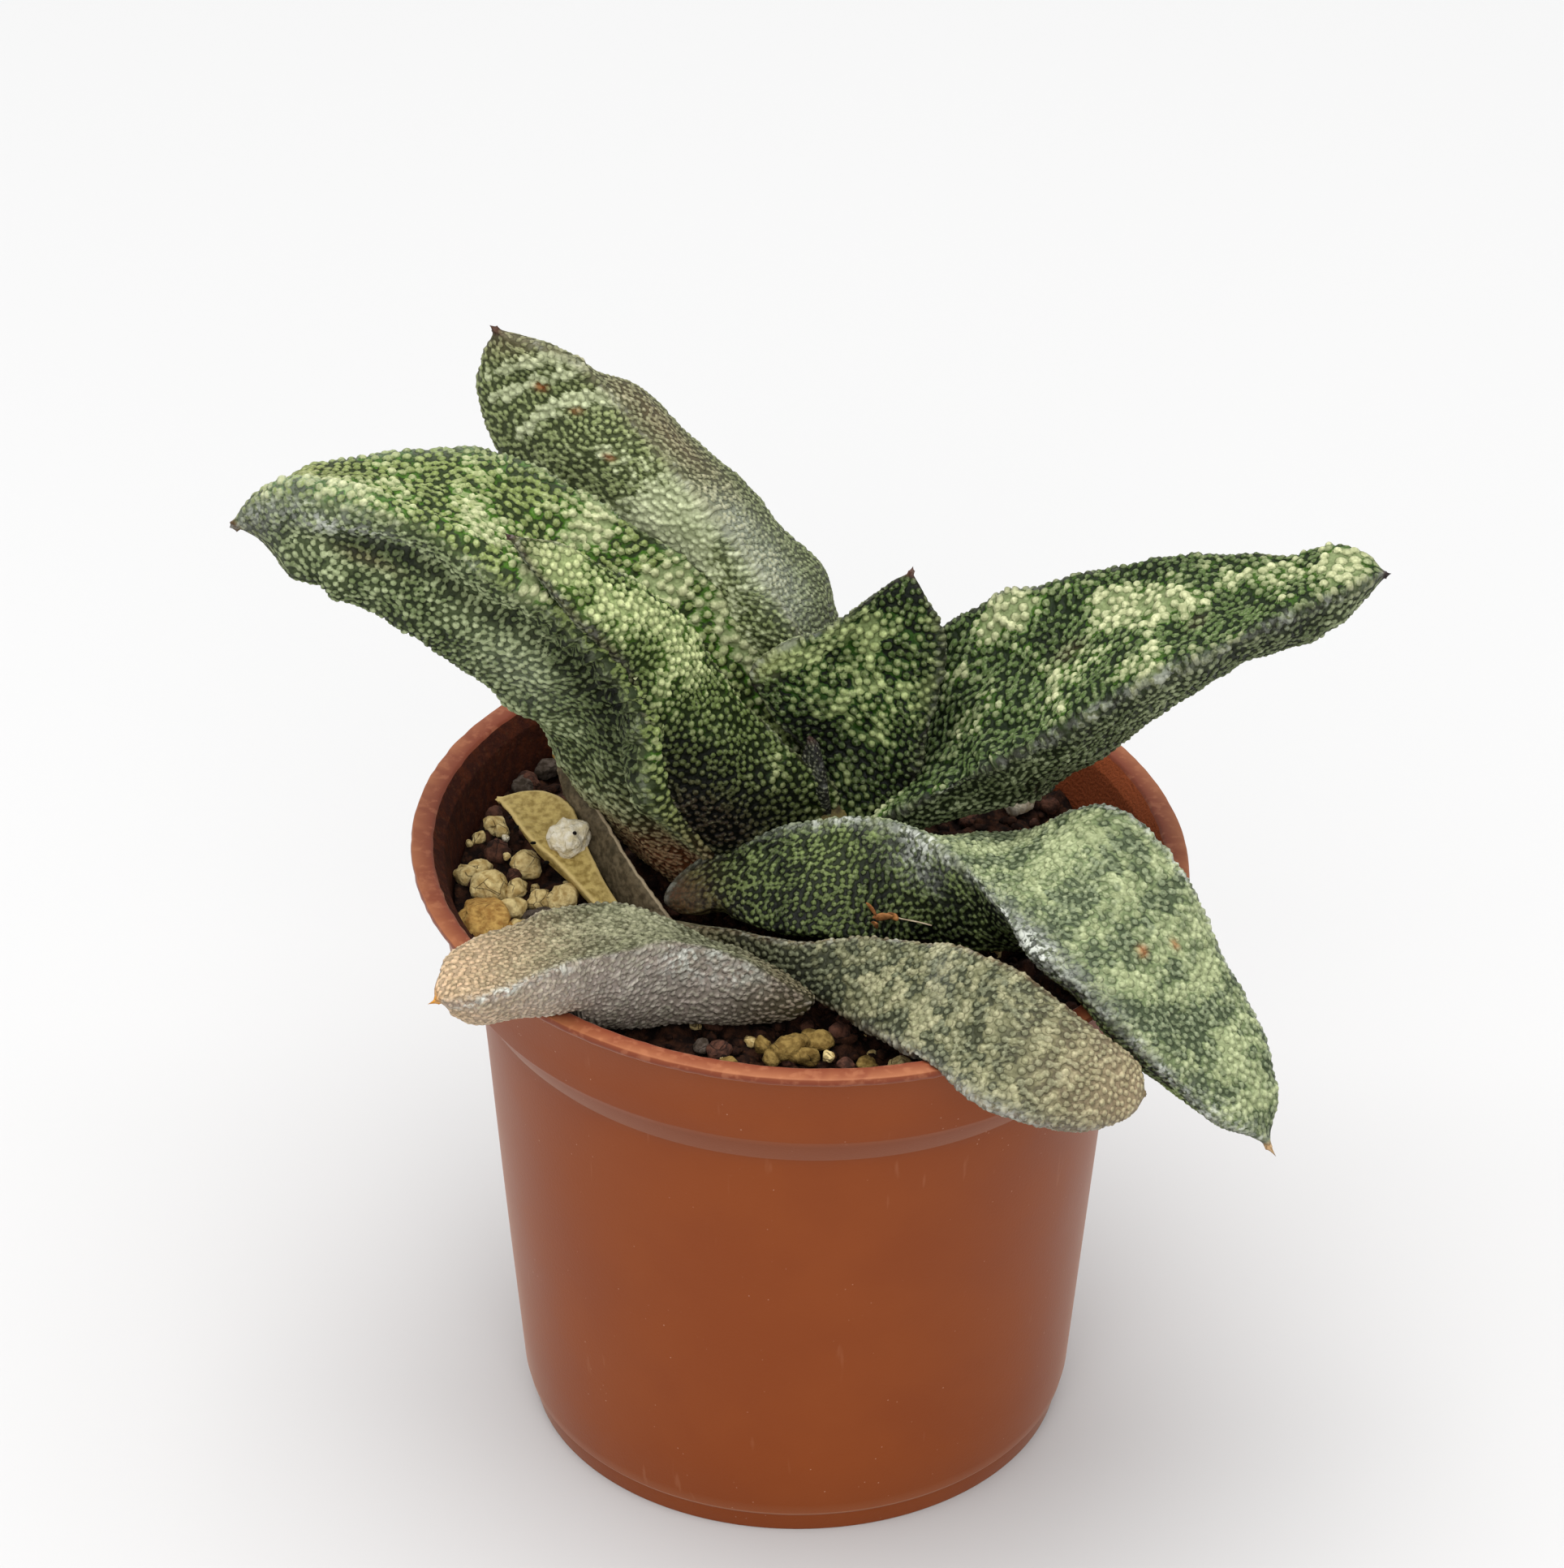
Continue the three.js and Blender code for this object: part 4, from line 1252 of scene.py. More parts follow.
@dataclass(frozen=True)
class Soil:
    """Gritty filling of the pot, with its loose grains.

    Attributes:
        level: height of its surface.
        radius: of its surface.
        lump: height of its slow lumps.
        wall: side of the filling from the floor up, as radius and height.
        grains: loose grains as x, y, height of the middle, radius, squash and kind.
        specks: small black seeds as x, y, z and radius.
    """

    CLEAR = 2.2  # crumbs keep this far from the wall
    WITHIN = 42.3  # radius that no loose grain reaches beyond
    LARGE = 2.1  # a grain with a larger radius has finer faces

    level: float = 70.4
    radius: float = 42.2
    lump: float = 0.45
    wall: tuple = ((31.3, 1.9), (32.5, 5.0), (36.8, 51.3), (37.8, 61.2), (38.5, 62.2), (41.6, 66.6))
    grains: tuple = (
        (-37.5, 15.5, 71.6, 1.4, 0.9, PUMICE), (-36.6, 14.2, 71.9, 1.1, 0.9, PUMICE),
        (-39.3, 13.2, 71.4, 0.9, 0.9, PUMICE), (-39.0, 6, 71.8, 1.6, 0.8, PUMICE),
        (-40.6, 4.8, 71.6, 1.5, 0.8, PUMICE), (-37.5, 1.3, 72.4, 2.5, 0.85, PUMICE),
        (-34.4, 1.2, 71.9, 1.5, 0.9, PUMICE), (-34.9, -2.6, 71.9, 1.6, 0.9, PUMICE),
        (-31.5, -0.8, 71.8, 1.5, 0.9, PUMICE), (-38.6, -5.0, 71.9, 3.4, 0.6, OCHRE),
        (-35.5, -7.9, 71.7, 1.9, 0.7, OCHRE), (-33.9, -6.9, 72.2, 1.2, 0.7, PUMICE),
        (-33.2, 6.3, 72.2, 1.7, 1.0, PUMICE), (-28.6, -1.6, 72.4, 2.1, 1.1, PUMICE),
        (-31.9, -5.3, 71.8, 2.2, 0.7, BASALT), (-36.9, 9.3, 71.8, 1.7, 1.0, BARK),
        (-27.8, 2.9, 78.5, 2.35, 1.1, QUARTZ), (-33.5, 25, 71.6, 1.5, 0.9, BARK),
        (-36.4, 25.8, 71.6, 1.6, 0.9, BASALT), (-33.1, 30, 71.5, 1.4, 0.9, BASALT),
        (-30.5, 32.5, 71.8, 2.6, 0.8, OCHRE), (-27, -9, 71.6, 2.4, 0.8, PUMICE),
        (-22, -8, 72.0, 2.2, 1.0, BARK), (-24.3, -1.3, 71.8, 0.9, 0.9, PUMICE),
        (-22.9, -0.6, 71.7, 0.7, 0.9, BARK), (-41, 12, 71.5, 0.5, 1.0, PUMICE),
        (-36, 11.8, 72.3, 0.5, 1.0, QUARTZ), (-35.8, 7.6, 72.6, 0.5, 1.0, PUMICE),
        (-38.6, 18.6, 71.5, 1.3, 0.9, BARK), (-34, 18, 71.5, 1.6, 0.9, BARK),
        (-4.2, -31.3, 72.2, 1.1, 1.0, YELLOW), (-2.9, -33.2, 72.2, 1.4, 0.9, YELLOW),
        (-0.9, -32.4, 72.4, 2.3, 0.8, YELLOW), (0.8, -33.5, 72.1, 1.5, 0.8, YELLOW),
        (2.0, -29.9, 72.2, 1.9, 0.6, YELLOW), (3.6, -33, 71.8, 0.8, 0.9, PUMICE),
        (5.0, -28.4, 72.0, 1.4, 0.9, BARK), (8.1, -34.4, 71.7, 1.2, 0.7, YELLOW),
        (5.7, -34.4, 71.6, 1.0, 0.9, BARK), (-11.6, -30.8, 71.6, 1.1, 0.8, BASALT),
        (-9.5, -31.9, 71.7, 1.7, 0.8, BARK), (-8.3, -34.3, 71.7, 1.2, 0.6, YELLOW),
        (-8, -36.8, 71.4, 2.2, 0.7, BARK), (12, -36, 71.4, 2.2, 0.8, PUMICE),
        (13.5, -32, 71.6, 1.4, 0.8, BARK), (27, 20.9, 72.2, 2.0, 0.9, QUARTZ),
        (24, 10, 71.6, 2.4, 0.8, PUMICE), (33, -2, 71.4, 2.4, 0.8, OCHRE), (17, 27, 71.8, 2.8, 0.8, PUMICE),
        (8, 32, 71.8, 3.2, 0.7, PUMICE), (-8, 36, 71.6, 2.6, 0.8, OCHRE), (-18, 31, 71.6, 2.8, 0.8, PUMICE),
        (32, 14, 71.6, 2.4, 0.8, PUMICE), (1, 37, 71.5, 1.6, 0.9, BARK), (20, 33, 71.5, 1.8, 0.8, OCHRE),
        (36, 6, 71.5, 1.7, 0.9, BASALT), (28, 28, 71.4, 1.5, 0.9, PUMICE),
    )
    specks: tuple = (
        (-35.3, 7.2, 78.6, 0.28), (-34.5, 5.2, 78.5, 0.34), (-32.4, 2.3, 78.2, 0.33),
        (-30.7, -0.6, 77.3, 0.32), (-27.3, 1.2, 80.4, 0.3),
    )

    def height(self, x: np.ndarray, y: np.ndarray) -> np.ndarray:
        """Height of the surface without its crumbs."""
        wave = np.sin(0.62 * x + 1.3) * np.cos(0.55 * y - 0.4) + np.sin(1.1 * x - 0.9 * y)
        return self.level + self.lump * wave

    def build(self) -> bpy.types.Mesh:
        """Make the filling with its crumbly surface.

        Returns:
            The mesh, in place.
        """
        profile = [(0.0, self.wall[0][1]), *self.wall]
        profile += [(self.radius * r, self.level) for r in np.linspace(1, 0, 72)]
        mesh = mesh_of(turned(profile, 250), "peat")
        co = positions(mesh)
        top = co[:, 2] > self.level - 0.1
        co = Pot.squeeze(co)
        crumbs = 0.7 * cloud(co, 2.6, 71, 3) + 0.45 * np.abs(cloud(co, 1.1, 75, 2))
        co[:, 2] = np.where(top, self.height(co[:, 0], co[:, 1]) + crumbs, co[:, 2])
        write_positions(mesh, co)
        finish_mesh(mesh)
        return mesh

    def lump_of(self, bm: bmesh.types.BMesh, spot: tuple, radius: float, squash: float, seed: int,
                detail: int) -> None:
        """Add one rough grain.

        Args:
            bm: mesh that takes the grain.
            spot: middle of the grain.
            radius: its size.
            squash: its height as a share of its width.
            seed: number of its shape.
            detail: how often the ball that it starts from is split.
        """
        made = bmesh.ops.create_icosphere(bm, subdivisions=detail, radius=1.0)["verts"]
        unit = np.array([v.co for v in made])
        swell = 1 + 0.26 * cloud(unit + seed * 3.7, 0.85, seed, 2)
        swell -= 0.14 * np.abs(cloud(unit + seed, 0.4, seed + 1, 1))
        turn = seed * 2.4
        c, s = math.cos(turn), math.sin(turn)
        shape = unit * swell[:, None] * [1.12, 0.92, squash] * radius
        x, y, z = shape.T
        for vertex, p in zip(made, np.stack([x * c - y * s, x * s + y * c, z], -1) + spot):
            vertex.co = p * MM

    def strew(self, name: str, lumps: list[tuple], finish: bpy.types.Material) -> None:
        """Build and dress a piece made of many grains.

        Args:
            name: name of the piece.
            lumps: middle, radius, squash, seed and detail of each grain.
            finish: its material.
        """
        bm = bmesh.new()
        for lump in lumps:
            self.lump_of(bm, *lump)
        piece(name, mesh_of(bm, name), finish, "soil")

    def scatter(self, count: int, seed: int, sizes: tuple, detail: int) -> list[tuple]:
        """Spread small crumbs over the surface.

        Args:
            count: number of crumbs.
            seed: number of the pattern.
            sizes: smallest and largest radius.
            detail: how often each ball is split.

        Returns:
            The crumbs, as strew reads them.
        """
        rng = np.random.default_rng(seed)
        lumps = []
        for k in range(count):
            r = math.sqrt(rng.uniform(0.02, 1)) * (self.radius - self.CLEAR)
            a = rng.uniform(0, TURN)
            radius = rng.uniform(*sizes)
            p = Pot.squeeze(np.array([[r * math.cos(a), r * math.sin(a), self.level]]))[0]
            p[2] = self.height(p[0], p[1]) + 0.5 * radius
            lumps.append((tuple(p), radius, rng.uniform(0.6, 0.95), seed * 1000 + k, detail))
        return lumps

    def loose(self, kind: Rock) -> list[tuple]:
        """List the loose grains of one kind, moved in from the wall where they would touch it.

        Args:
            kind: the kind of grain.

        Returns:
            The grains, as strew reads them.
        """
        lumps = []
        for k, (x, y, z, radius, squash, rock) in enumerate(self.grains):
            if rock is kind:
                reach = float(Pot.radius_of(np.array([x, y, z])))
                inward = min(1.0, (self.WITHIN - 0.95 * radius) / reach)
                detail = 4 if radius > self.LARGE else 3
                lumps.append(((x * inward, y * inward, z), radius, squash, k + 1, detail))
        return lumps

    def make(self) -> None:
        """Build and dress the soil, its crumbs, its grains and the black seeds on the dead leaf."""
        peat = Peat().material()
        stone = {kind: kind.value.material() for kind in Rock}
        piece("peat", self.build(), peat, "soil", "substrate")
        self.strew("peat_crumbs", self.scatter(1100, 5, (0.35, 1.0), 1), peat)
        self.strew("bark_crumbs", self.scatter(90, 13, (0.7, 1.6), 2), stone[BARK])
        self.strew("fine_grit", self.scatter(60, 9, (0.35, 0.8), 2), stone[PUMICE])
        for kind in Rock:
            self.strew(f"{kind.name.lower()}_grains", self.loose(kind), stone[kind])
        seeds = [((x, y, z), radius, 0.7, 400 + k, 2) for k, (x, y, z, radius) in enumerate(self.specks)]
        self.strew("black_seeds", seeds, Peat("#070504", "#1a1210", "seed_husk").material())


# ------------------------------------------------------------------ stem and sheath


@dataclass(frozen=True)
class Stem:
    """Short stem that carries the leaves.

    Attributes:
        centre: its place on the soil.
        profile: radius and height from the root up.
    """

    centre: tuple = (3, 4)
    profile: tuple = ((0, 52), (3.9, 52), (5.6, 58), (6.0, 70), (5.2, 75.5), (3.6, 82), (1.8, 84), (0, 84.4))

    def make(self) -> None:
        """Build and dress the stem."""
        line = np.maximum(curve(np.array(self.profile, float), np.linspace(0, 1, 40)), 0)
        mesh = mesh_of(turned(line, 48), "stem")
        write_positions(mesh, positions(mesh) + [*self.centre, 0])
        finish_mesh(mesh)
        bark = DeadLeaf("corky_stem", "#6e6238", "#45391f", "#2c2214", 0.75, "#6e6238")
        piece("stem_bark", mesh, bark.material(), "stem", "stem")


@dataclass(frozen=True)
class Sheath:
    """Papery remnant of an old leaf base, curled and upright.

    Attributes:
        line: middle x, y, z and half height of the strip.
        thickness: of the strip.
    """

    line: tuple = (
        (-15.8, -8.4, 71.4, 2.4), (-18.7, -4.6, 73.3, 3.0), (-21.7, -0.4, 75.1, 3.1), (-24.2, 3.8, 76.9, 2.8),
        (-26.6, 8.3, 79.0, 2.3), (-28.4, 11.5, 81.0, 1.7), (-29.5, 14, 82.6, 0.8),
    )
    thickness: float = 1.1

    def make(self) -> None:
        """Build and dress the sheath."""
        steps, around = 120, 40
        t = np.linspace(0, 1, steps)
        rows = np.array(self.line, float)
        middle = curve(rows, t)
        ahead, behind = curve(rows, t + 0.01), curve(rows, t - 0.01)
        side = np.stack([behind[:, 1] - ahead[:, 1], ahead[:, 0] - behind[:, 0], np.zeros(steps)], -1)
        side /= np.linalg.norm(side, axis=1)[:, None]
        angle = np.linspace(0, TURN, around + 1)
        high = np.sign(np.sin(angle)) * np.abs(np.sin(angle)) ** 0.5
        thick = np.cos(angle) * self.thickness / 2
        fade = np.sqrt(np.clip(1 - np.maximum(t, 0.4 * (1 - t)) ** 8, 0, 1))[:, None]
        lean = (0.3 * np.sin(9 * t)[:, None] - 0.7) * high
        out = (thick + lean) * fade
        rise = middle[:, 3:4] * high * fade
        points = middle[:, None, :3] + out[..., None] * side[:, None]
        points[..., 2] += rise
        points += 0.12 * cloud(points * [1, 1, 4], 1.2, 91, 2)[..., None] * side[:, None]
        points[:, -1] = points[:, 0]
        mesh = sheet("dry_sheath_skin", points)
        edge = np.broadcast_to(0.6 * smooth(high, 0.9, 1.0), points.shape[:2])
        write_marks(mesh, "zones", 0 * edge, edge)
        finish_mesh(mesh)
        paper = DeadLeaf("papery_sheath", "#6a5d46", "#463c29", "#2f2a1a", 0.7, "#a8977a")
        piece("dry_sheath_skin", mesh, paper.material(), "dry_sheath", "dry_sheath")


@dataclass(frozen=True)
class DriedFlower:
    """Dried flower caught on the fold of a front leaf, with a root hair.

    Attributes:
        petals: middle x, y, z, half length, half width and turn in degrees of each petal.
        hair: points of the root hair.
        thickness: of the hair.
    """

    petals: tuple = (
        (9.9, -15.75, 80.1, 1.5, 0.55, 12), (11.1, -15.2, 79.9, 0.9, 0.5, -20),
        (8.9, -16.5, 79.2, 0.95, 0.6, 70), (8.6, -15.5, 81.2, 1.1, 0.25, 125),
    )
    hair: tuple = (
        (11.2, -15.2, 79.8), (12.3, -15.35, 79.5), (13.6, -15.6, 79.4), (14.9, -15.95, 79.3),
        (15.9, -16.25, 79.2),
    )
    thickness: float = 0.2

    def make(self) -> None:
        """Build and dress the petals and the hair."""
        bm = bmesh.new()
        for k, (x, y, z, half, wide, turn) in enumerate(self.petals):
            made = bmesh.ops.create_icosphere(bm, subdivisions=2, radius=1.0)["verts"]
            p = np.array([v.co for v in made]) * [half, 0.22, wide]
            p[:, 1] -= 0.35 * (p[:, 0] / half) ** 2 + 0.2 * cloud(p + 9 * k, 0.8, 500 + k, 2)
            c, s = math.cos(math.radians(turn)), math.sin(math.radians(turn))
            for vertex, (a, b, h) in zip(made, p):
                vertex.co = np.array([x + a * c - h * s, y + b, z + a * s + h * c]) * MM
        brown = DeadLeaf("dried_petal", "#a56f3c", "#6b3f1d", "#2c180c", 0.7).material()
        piece("dried_flower", mesh_of(bm, "dried_flower"), brown, "dry_sheath")
        line = bpy.data.curves.new("root_hair", "CURVE")
        line.dimensions = "3D"
        line.bevel_depth = self.thickness / 2 * MM
        run = line.splines.new("POLY")
        points = curve(np.array(self.hair), np.linspace(0, 1, 24)) * MM
        run.points.add(len(points) - 1)
        run.points.foreach_set("co", np.pad(points, ((0, 0), (0, 1)), constant_values=1).ravel())
        line.use_fill_caps = True
        drawn = bpy.data.objects.new("root_hair_line", line)
        mesh = bpy.data.meshes.new_from_object(drawn)
        bpy.data.objects.remove(drawn)
        finish_mesh(mesh, 0.0001)
        pale = DeadLeaf("root_fibre", "#b0a188", "#8a7a60", "#6a5a44", 0.7).material()
        piece("root_hair", mesh, pale, "dry_sheath")


# ------------------------------------------------------------------ the plant

LEAVES = (
    Leaf(
        "leaf_left", "leaf_green", round=2.0, lip=1.6, blunt=0.9, mucro=0.5, pale=0.32, mottle=0.36,
        pitch=1.0, wart=0.5, ripple=0.6, spacing=0.292, trough=4.0, roll=1.4, sharp=0.95,
        stations=(
            (-5.5, -3.5, 72.8, 0.5, 5, 73.5, 13.5, -0.3, 0), (-11.5, -5, 81.5, 0, 9, 81.5, 19.5, -0.4, 2),
            (-17, -7.5, 91.5, -2, 12.5, 94, 21, -0.45, 4.5),
            (-19.5, -8, 105.5, -8, 14, 105.5, 22.5, -0.45, 5.5),
            (-27.5, -8, 117, -18.5, 14, 115.5, 19, -0.45, 5),
            (-37, -7, 124, -34, 15.5, 125, 18.5, -0.45, 3.5), (-46, -5, 129, -47.5, 16, 125.5, 16, -0.45, 2),
            (-57.5, -1, 129.5, -58.5, 12.5, 124.5, 13, -0.4, 0.5),
            (-64, 3, 126.5, -65, 8, 122.5, 9.5, -0.3, 0), (-68, 5, 122, -68, 6, 121.5, 1.5, 0, 0),
        ),
        skin=LeafSkin(
            ground="#2c381a", lush="#426a18", wart="#879656", pale="#c9cc9f", flank="#2a331c",
            flank_wart="#748356", flank_pale="#b2bd92", margin="#66714c", tip="#5d4630",
        ),
        marks={Field.PALE: (
            (0.623, 0.47, 5, 6, -0.15), (0.494, 0.67, 4, 7, 0.8), (0.393, 0.67, 5, 8, 0.85),
            (0.293, 0.97, 7, 6, 0.7), (0.55, 0.6, 2.5, 3.5, -0.15), (0.45, 0.6, 1.8, 5, -0.3),
            (0.674, -1.0, 8, 2.5, 0.25), (0.377, -1.0, 9, 3, -0.6), (0.86, -0.6, 7, 7, 0.15),
            (0.72, -1.5, 6, 5, 0.4), (0.565, -1.4, 8, 5, 0.35), (0.43, -1.45, 9, 5, 0.6),
            (0.2, -0.5, 9, 8, -0.6),
        ), Field.DEEP: (
            (0.36, -1.08, 11, 2.6, 1.0), (0.14, -0.4, 12, 10, 0.7), (0.55, -1.9, 40, 4, 0.35),
            (0.62, -1.27, 24, 1.1, 0.75), (0.3, -1.25, 14, 2.5, 0.5),
        ), Field.BLOOM: (
            (0.43, -1.5, 9, 4, 0.2), (0.85, -0.6, 9, 6, 0.35), (0.72, 0.95, 16, 2.5, 0.3),
        ), Field.DUST: (
            (0.82, -1.15, 9, 1.2, 0.6), (0.73, -1.2, 6, 1, 0.5),
        ), Field.TINT: (
            (0.72, -1.38, 4, 0.8, 0.5), (0.1, -1.2, 10, 16, 1.0), (0.88, 0.4, 8, 9, 0.35),
        ), Field.RUST: (
            (0.08, -1.5, 6, 8, 0.25),
        ), Field.RIDGE: (
            (0.36, -1.05, 13, 3.4, 1.6),
        )},
    ),
    Leaf(
        "leaf_back_left", "leaf_olive", round=1.7, lip=1.0, blunt=0.9, mucro=0.8, pale=0.05, mottle=0.12,
        pitch=0.76, wart=0.36, ripple=0.5, spacing=0.29,
        stations=(
            (-3, 10, 72.5, 4, 5, 78, 6, 0.6, 0), (-7, 16.5, 72, 5, 8, 88.5, 13, 0.6, 0.5),
            (-14.5, 17, 86, 0.5, 10, 102.5, 15, 0.6, 0.5), (-22.5, 20.5, 98.5, -6, 13, 112, 14, 0.6, 0),
            (-30.5, 23.5, 109, -13, 16, 120, 12.5, 0.6, -0.5),
            (-36.5, 27, 118.5, -19.5, 20, 126.5, 10, 0.6, -1),
            (-39, 28, 125.5, -24.5, 22.5, 131.5, 4.6, 0.5, -0.5),
            (-38.5, 28, 131.5, -30, 24, 134.8, 1.8, 0.3, -0.5), (-37.5, 27, 136, -37, 26, 136.5, 1.2, 0, 0),
        ),
        skin=LeafSkin(
            ground="#485032", lush="#727b52", wart="#929d6a", pale="#d4dab3", flank="#454a32",
            flank_wart="#7c8460", flank_pale="#b4b292", margin="#6b6650", tint="#94866c", stain="#5a4a36",
            merge=0.8,
        ),
        marks={Field.PALE: (
            (0.85, -0.2, 0.83, 3.5, 1.5, -15), (0.868, 0.45, 0.83, 3, 1.5), (0.85, 0.95, 0.76, 2.5, 1.2, 30),
            (0.77, -0.4, 0.97, 3.5, 1.6, -17), (0.795, 0.25, 0.97, 3.5, 1.8, -6),
            (0.796, 0.9, 0.83, 3, 1.6, 8), (0.68, -0.3, 0.97, 3.5, 1.5, -27), (0.712, 0.15, 1, 3, 1.5, -22),
            (0.723, 0.65, 1.1, 3.5, 1.8, 3), (0.7, 1.0, 0.97, 2.5, 1.4, 38), (0.598, 0.47, 2.0, 2.5, 0.7),
            (0.494, 0.6, 5.5, 10, 0.9), (0.4, 0.4, 7, 9, 0.8), (0.29, 0.4, 6, 6, 0.25),
            (0.335, -2.9, 6, 4, 0.5), (0.545, 0.2, 1.6, 5, -0.5), (0.65, 0.1, 2, 6, -0.3),
            (0.915, 0.2, 1.3, 8, -0.5), (0.82, 0.2, 1.1, 8, -0.6, -8), (0.75, 0.2, 1.2, 8, -0.6, -10),
        ), Field.BLOOM: (
            (0.335, -2.9, 8, 4, 0.5), (0.43, -2.9, 5, 3, 0.4),
        ), Field.TINT: (
            (0.6, -2.7, 12, 4, 0.7), (0.97, 0, 3, 9, 0.5),
        ), Field.RUST: (
            (0.774, 0.17, 0.6, 0.9, 0.7), (0.699, 0.47, 0.5, 0.9, 0.5), (0.594, 0.47, 0.6, 0.7, 0.9),
        )},
    ),
    Leaf(
        "leaf_left_inner", "leaf_bronze", round=1.6, lip=0.9, blunt=0.9, mucro=0.9, pale=0.35, mottle=0.3,
        pitch=0.85, wart=0.42, ripple=0.5, spacing=0.26,
        stations=(
            (-5, -1.5, 78.5, 3, 3, 79.5, 2.5, 0, 0), (-11, -5, 82.5, 4.5, 3, 85, 4.5, -0.1, -0.5),
            (-14.5, -7, 88, 1, 1.5, 90.5, 5.5, -0.1, -1), (-17.5, -8.5, 100, -7.5, 2.5, 100, 5.5, -0.1, -1.2),
            (-21.5, -9.5, 112.5, -15.5, 1, 112.5, 5.5, -0.1, -1.2),
            (-27, -10, 119.5, -22, -2.5, 120, 5, -0.1, -0.8),
            (-31, -9.5, 124.5, -27, -5, 125.5, 3.5, -0.1, -0.4),
            (-34.5, -9.5, 130, -34, -8.5, 129.5, 1.2, 0, 0),
        ),
        # Its brown tint is its own; the near-black colour between the warts is partly painted shade on the
        # lower flank, where leaf_left shades it.
        skin=LeafSkin(
            ground="#26340f", lush="#42601a", wart="#6f8046", pale="#c5cd95", margin="#4b4034",
            tint="#443527", stain="#100805", tip="#4a3230",
        ),
        marks={Field.TINT: (
            (0.98, -0.6, 4, 7, 0.45), (0.3, -0.8, 8, 5, 0.9), (0.5, -1.25, 14, 2, 0.8),
            (0.22, -0.3, 6, 8, 0.7),
        ), Field.PALE: (
            (0.87, 0.2, 4, 5, 0.7), (0.68, 0.1, 8, 3.5, 0.5), (0.54, 0.4, 7, 3, 0.3),
            (0.42, 0.7, 8, 2.5, -0.2), (0.35, -0.3, 9, 6, -0.5),
        ), Field.DEEP: (
            (0.33, -0.8, 12, 6, 1.3), (0.5, -1.1, 14, 2.5, 0.9), (0.2, 0, 13, 12, 1.25),
            (0.43, 0.7, 7, 3, 0.3),
        )},
    ),
    Leaf(
        "leaf_right", "leaf_green", round=1.6, lip=0.9, blunt=0.93, mucro=0.6, pale=0.22, mottle=0.36,
        pitch=1.0, wart=0.5, ripple=0.75, spacing=0.29,
        stations=(
            (6, 8, 78, 7, 0, 78, 5, 0.1, 0), (12.5, 17, 86.5, 10, -3, 85, 7, 0.1, 3),
            (17.5, 17.5, 100, 19, -5, 92, 19, 0.1, 3), (28.5, 17.5, 105.5, 29.5, -7, 100, 14.5, 0.1, 2),
            (39, 16.5, 110, 40, -7.5, 107.5, 11.3, 0.1, 1), (49, 14, 113, 49.5, -6, 112, 8.8, 0.1, 0.4),
            (59, 11, 115, 59.5, -2, 115, 7, 0.1, 0), (66.5, 8.5, 116.5, 66.5, 2, 116, 4.2, 0.1, 0),
            (70, 5.5, 116, 70, 4.5, 116.5, 1.2, 0, 0),
        ),
        skin=LeafSkin(
            ground="#17240c", lush="#3c5c18", wart="#566b39", pale="#cdcfa3", flank="#1e2512",
            flank_wart="#66714e", flank_pale="#a2ab86", margin="#45443a", tint="#7f7a60", tip="#33292a",
            merge=0.3,
        ),
        marks={Field.DEEP: (
            (0.22, 0.2, 7, 12, 0.6), (0.5, 1.05, 28, 2.2, 0.55), (0.38, -0.33, 2.5, 3, 0.6),
            (0.55, -0.75, 5, 2.5, 0.4),
        ), Field.PALE: (
            (0.84, 0, 8, 6, 0.5), (0.494, -0.3, 5, 6, 0.75), (0.711, -0.27, 5, 4.5, 0.75),
            (0.393, 0.23, 4, 2.5, 0.5), (0.322, -0.7, 4, 2.5, 0.55), (0.6, -0.1, 3, 5, 0.3),
            (0.632, 0.4, 2, 3, -0.45), (0.38, -0.33, 1.6, 2.5, -0.5), (0.556, -0.75, 4, 2.5, -0.6),
            (0.83, 0.0, 3, 4, 0.4), (0.775, -0.3, 1.5, 5, -0.5), (0.5, -2.85, 16, 3, 0.2),
        ), Field.TINT: (
            (0.41, -0.05, 2.2, 2, 0.6), (0.6, 0.3, 1.4, 1.4, 0.5),
        ), Field.RIDGE: (
            (0.3, 0.9, 10, 3, 0.9),
        ), Field.DUST: (
            (0.6, 1.0, 18, 0.8, 0.35),
        )},
    ),
    Leaf(
        "leaf_heart", "leaf_green", round=1.7, lip=0.7, blunt=0.9, mucro=0.6, pale=0.25, pitch=0.9, wart=0.42,
        ripple=0.55, spacing=0.26,
        stations=(
            (4, 3, 76, 9, 2, 76, 3, 0, 0), (4.5, 3, 81.5, 12.5, 1, 83, 5, 0, 0.3),
            (2, 5, 88.5, 14, 2, 89, 6, 0, 1), (-4, 5, 96, 16, 3, 97.5, 7, 0, 2.5),
            (-5.5, 6, 101.5, 17, 5, 103.5, 7, 0, 2), (3.5, 7, 106.5, 16.5, 6.5, 107.5, 5, 0, 0.8),
            (9.5, 8, 111.5, 15, 7.5, 110.5, 3, 0, 0.2), (13, 9, 113.5, 13.5, 9, 113.5, 1.2, 0, 0),
        ),
        skin=LeafSkin(
            ground="#081104", lush="#25440a", wart="#445728", pale="#adb97e", margin="#3a3230",
            tint="#b7c084", stain="#949c62", tip="#5a3a30",
        ),
        marks={Field.DEEP: (
            (0.2, 0, 7, 14, 0.9), (0.37, -0.6, 4, 4, 0.8), (0.55, 0.9, 16, 2, 0.7), (0.75, -0.8, 4, 4, 0.4),
        ), Field.PALE: (
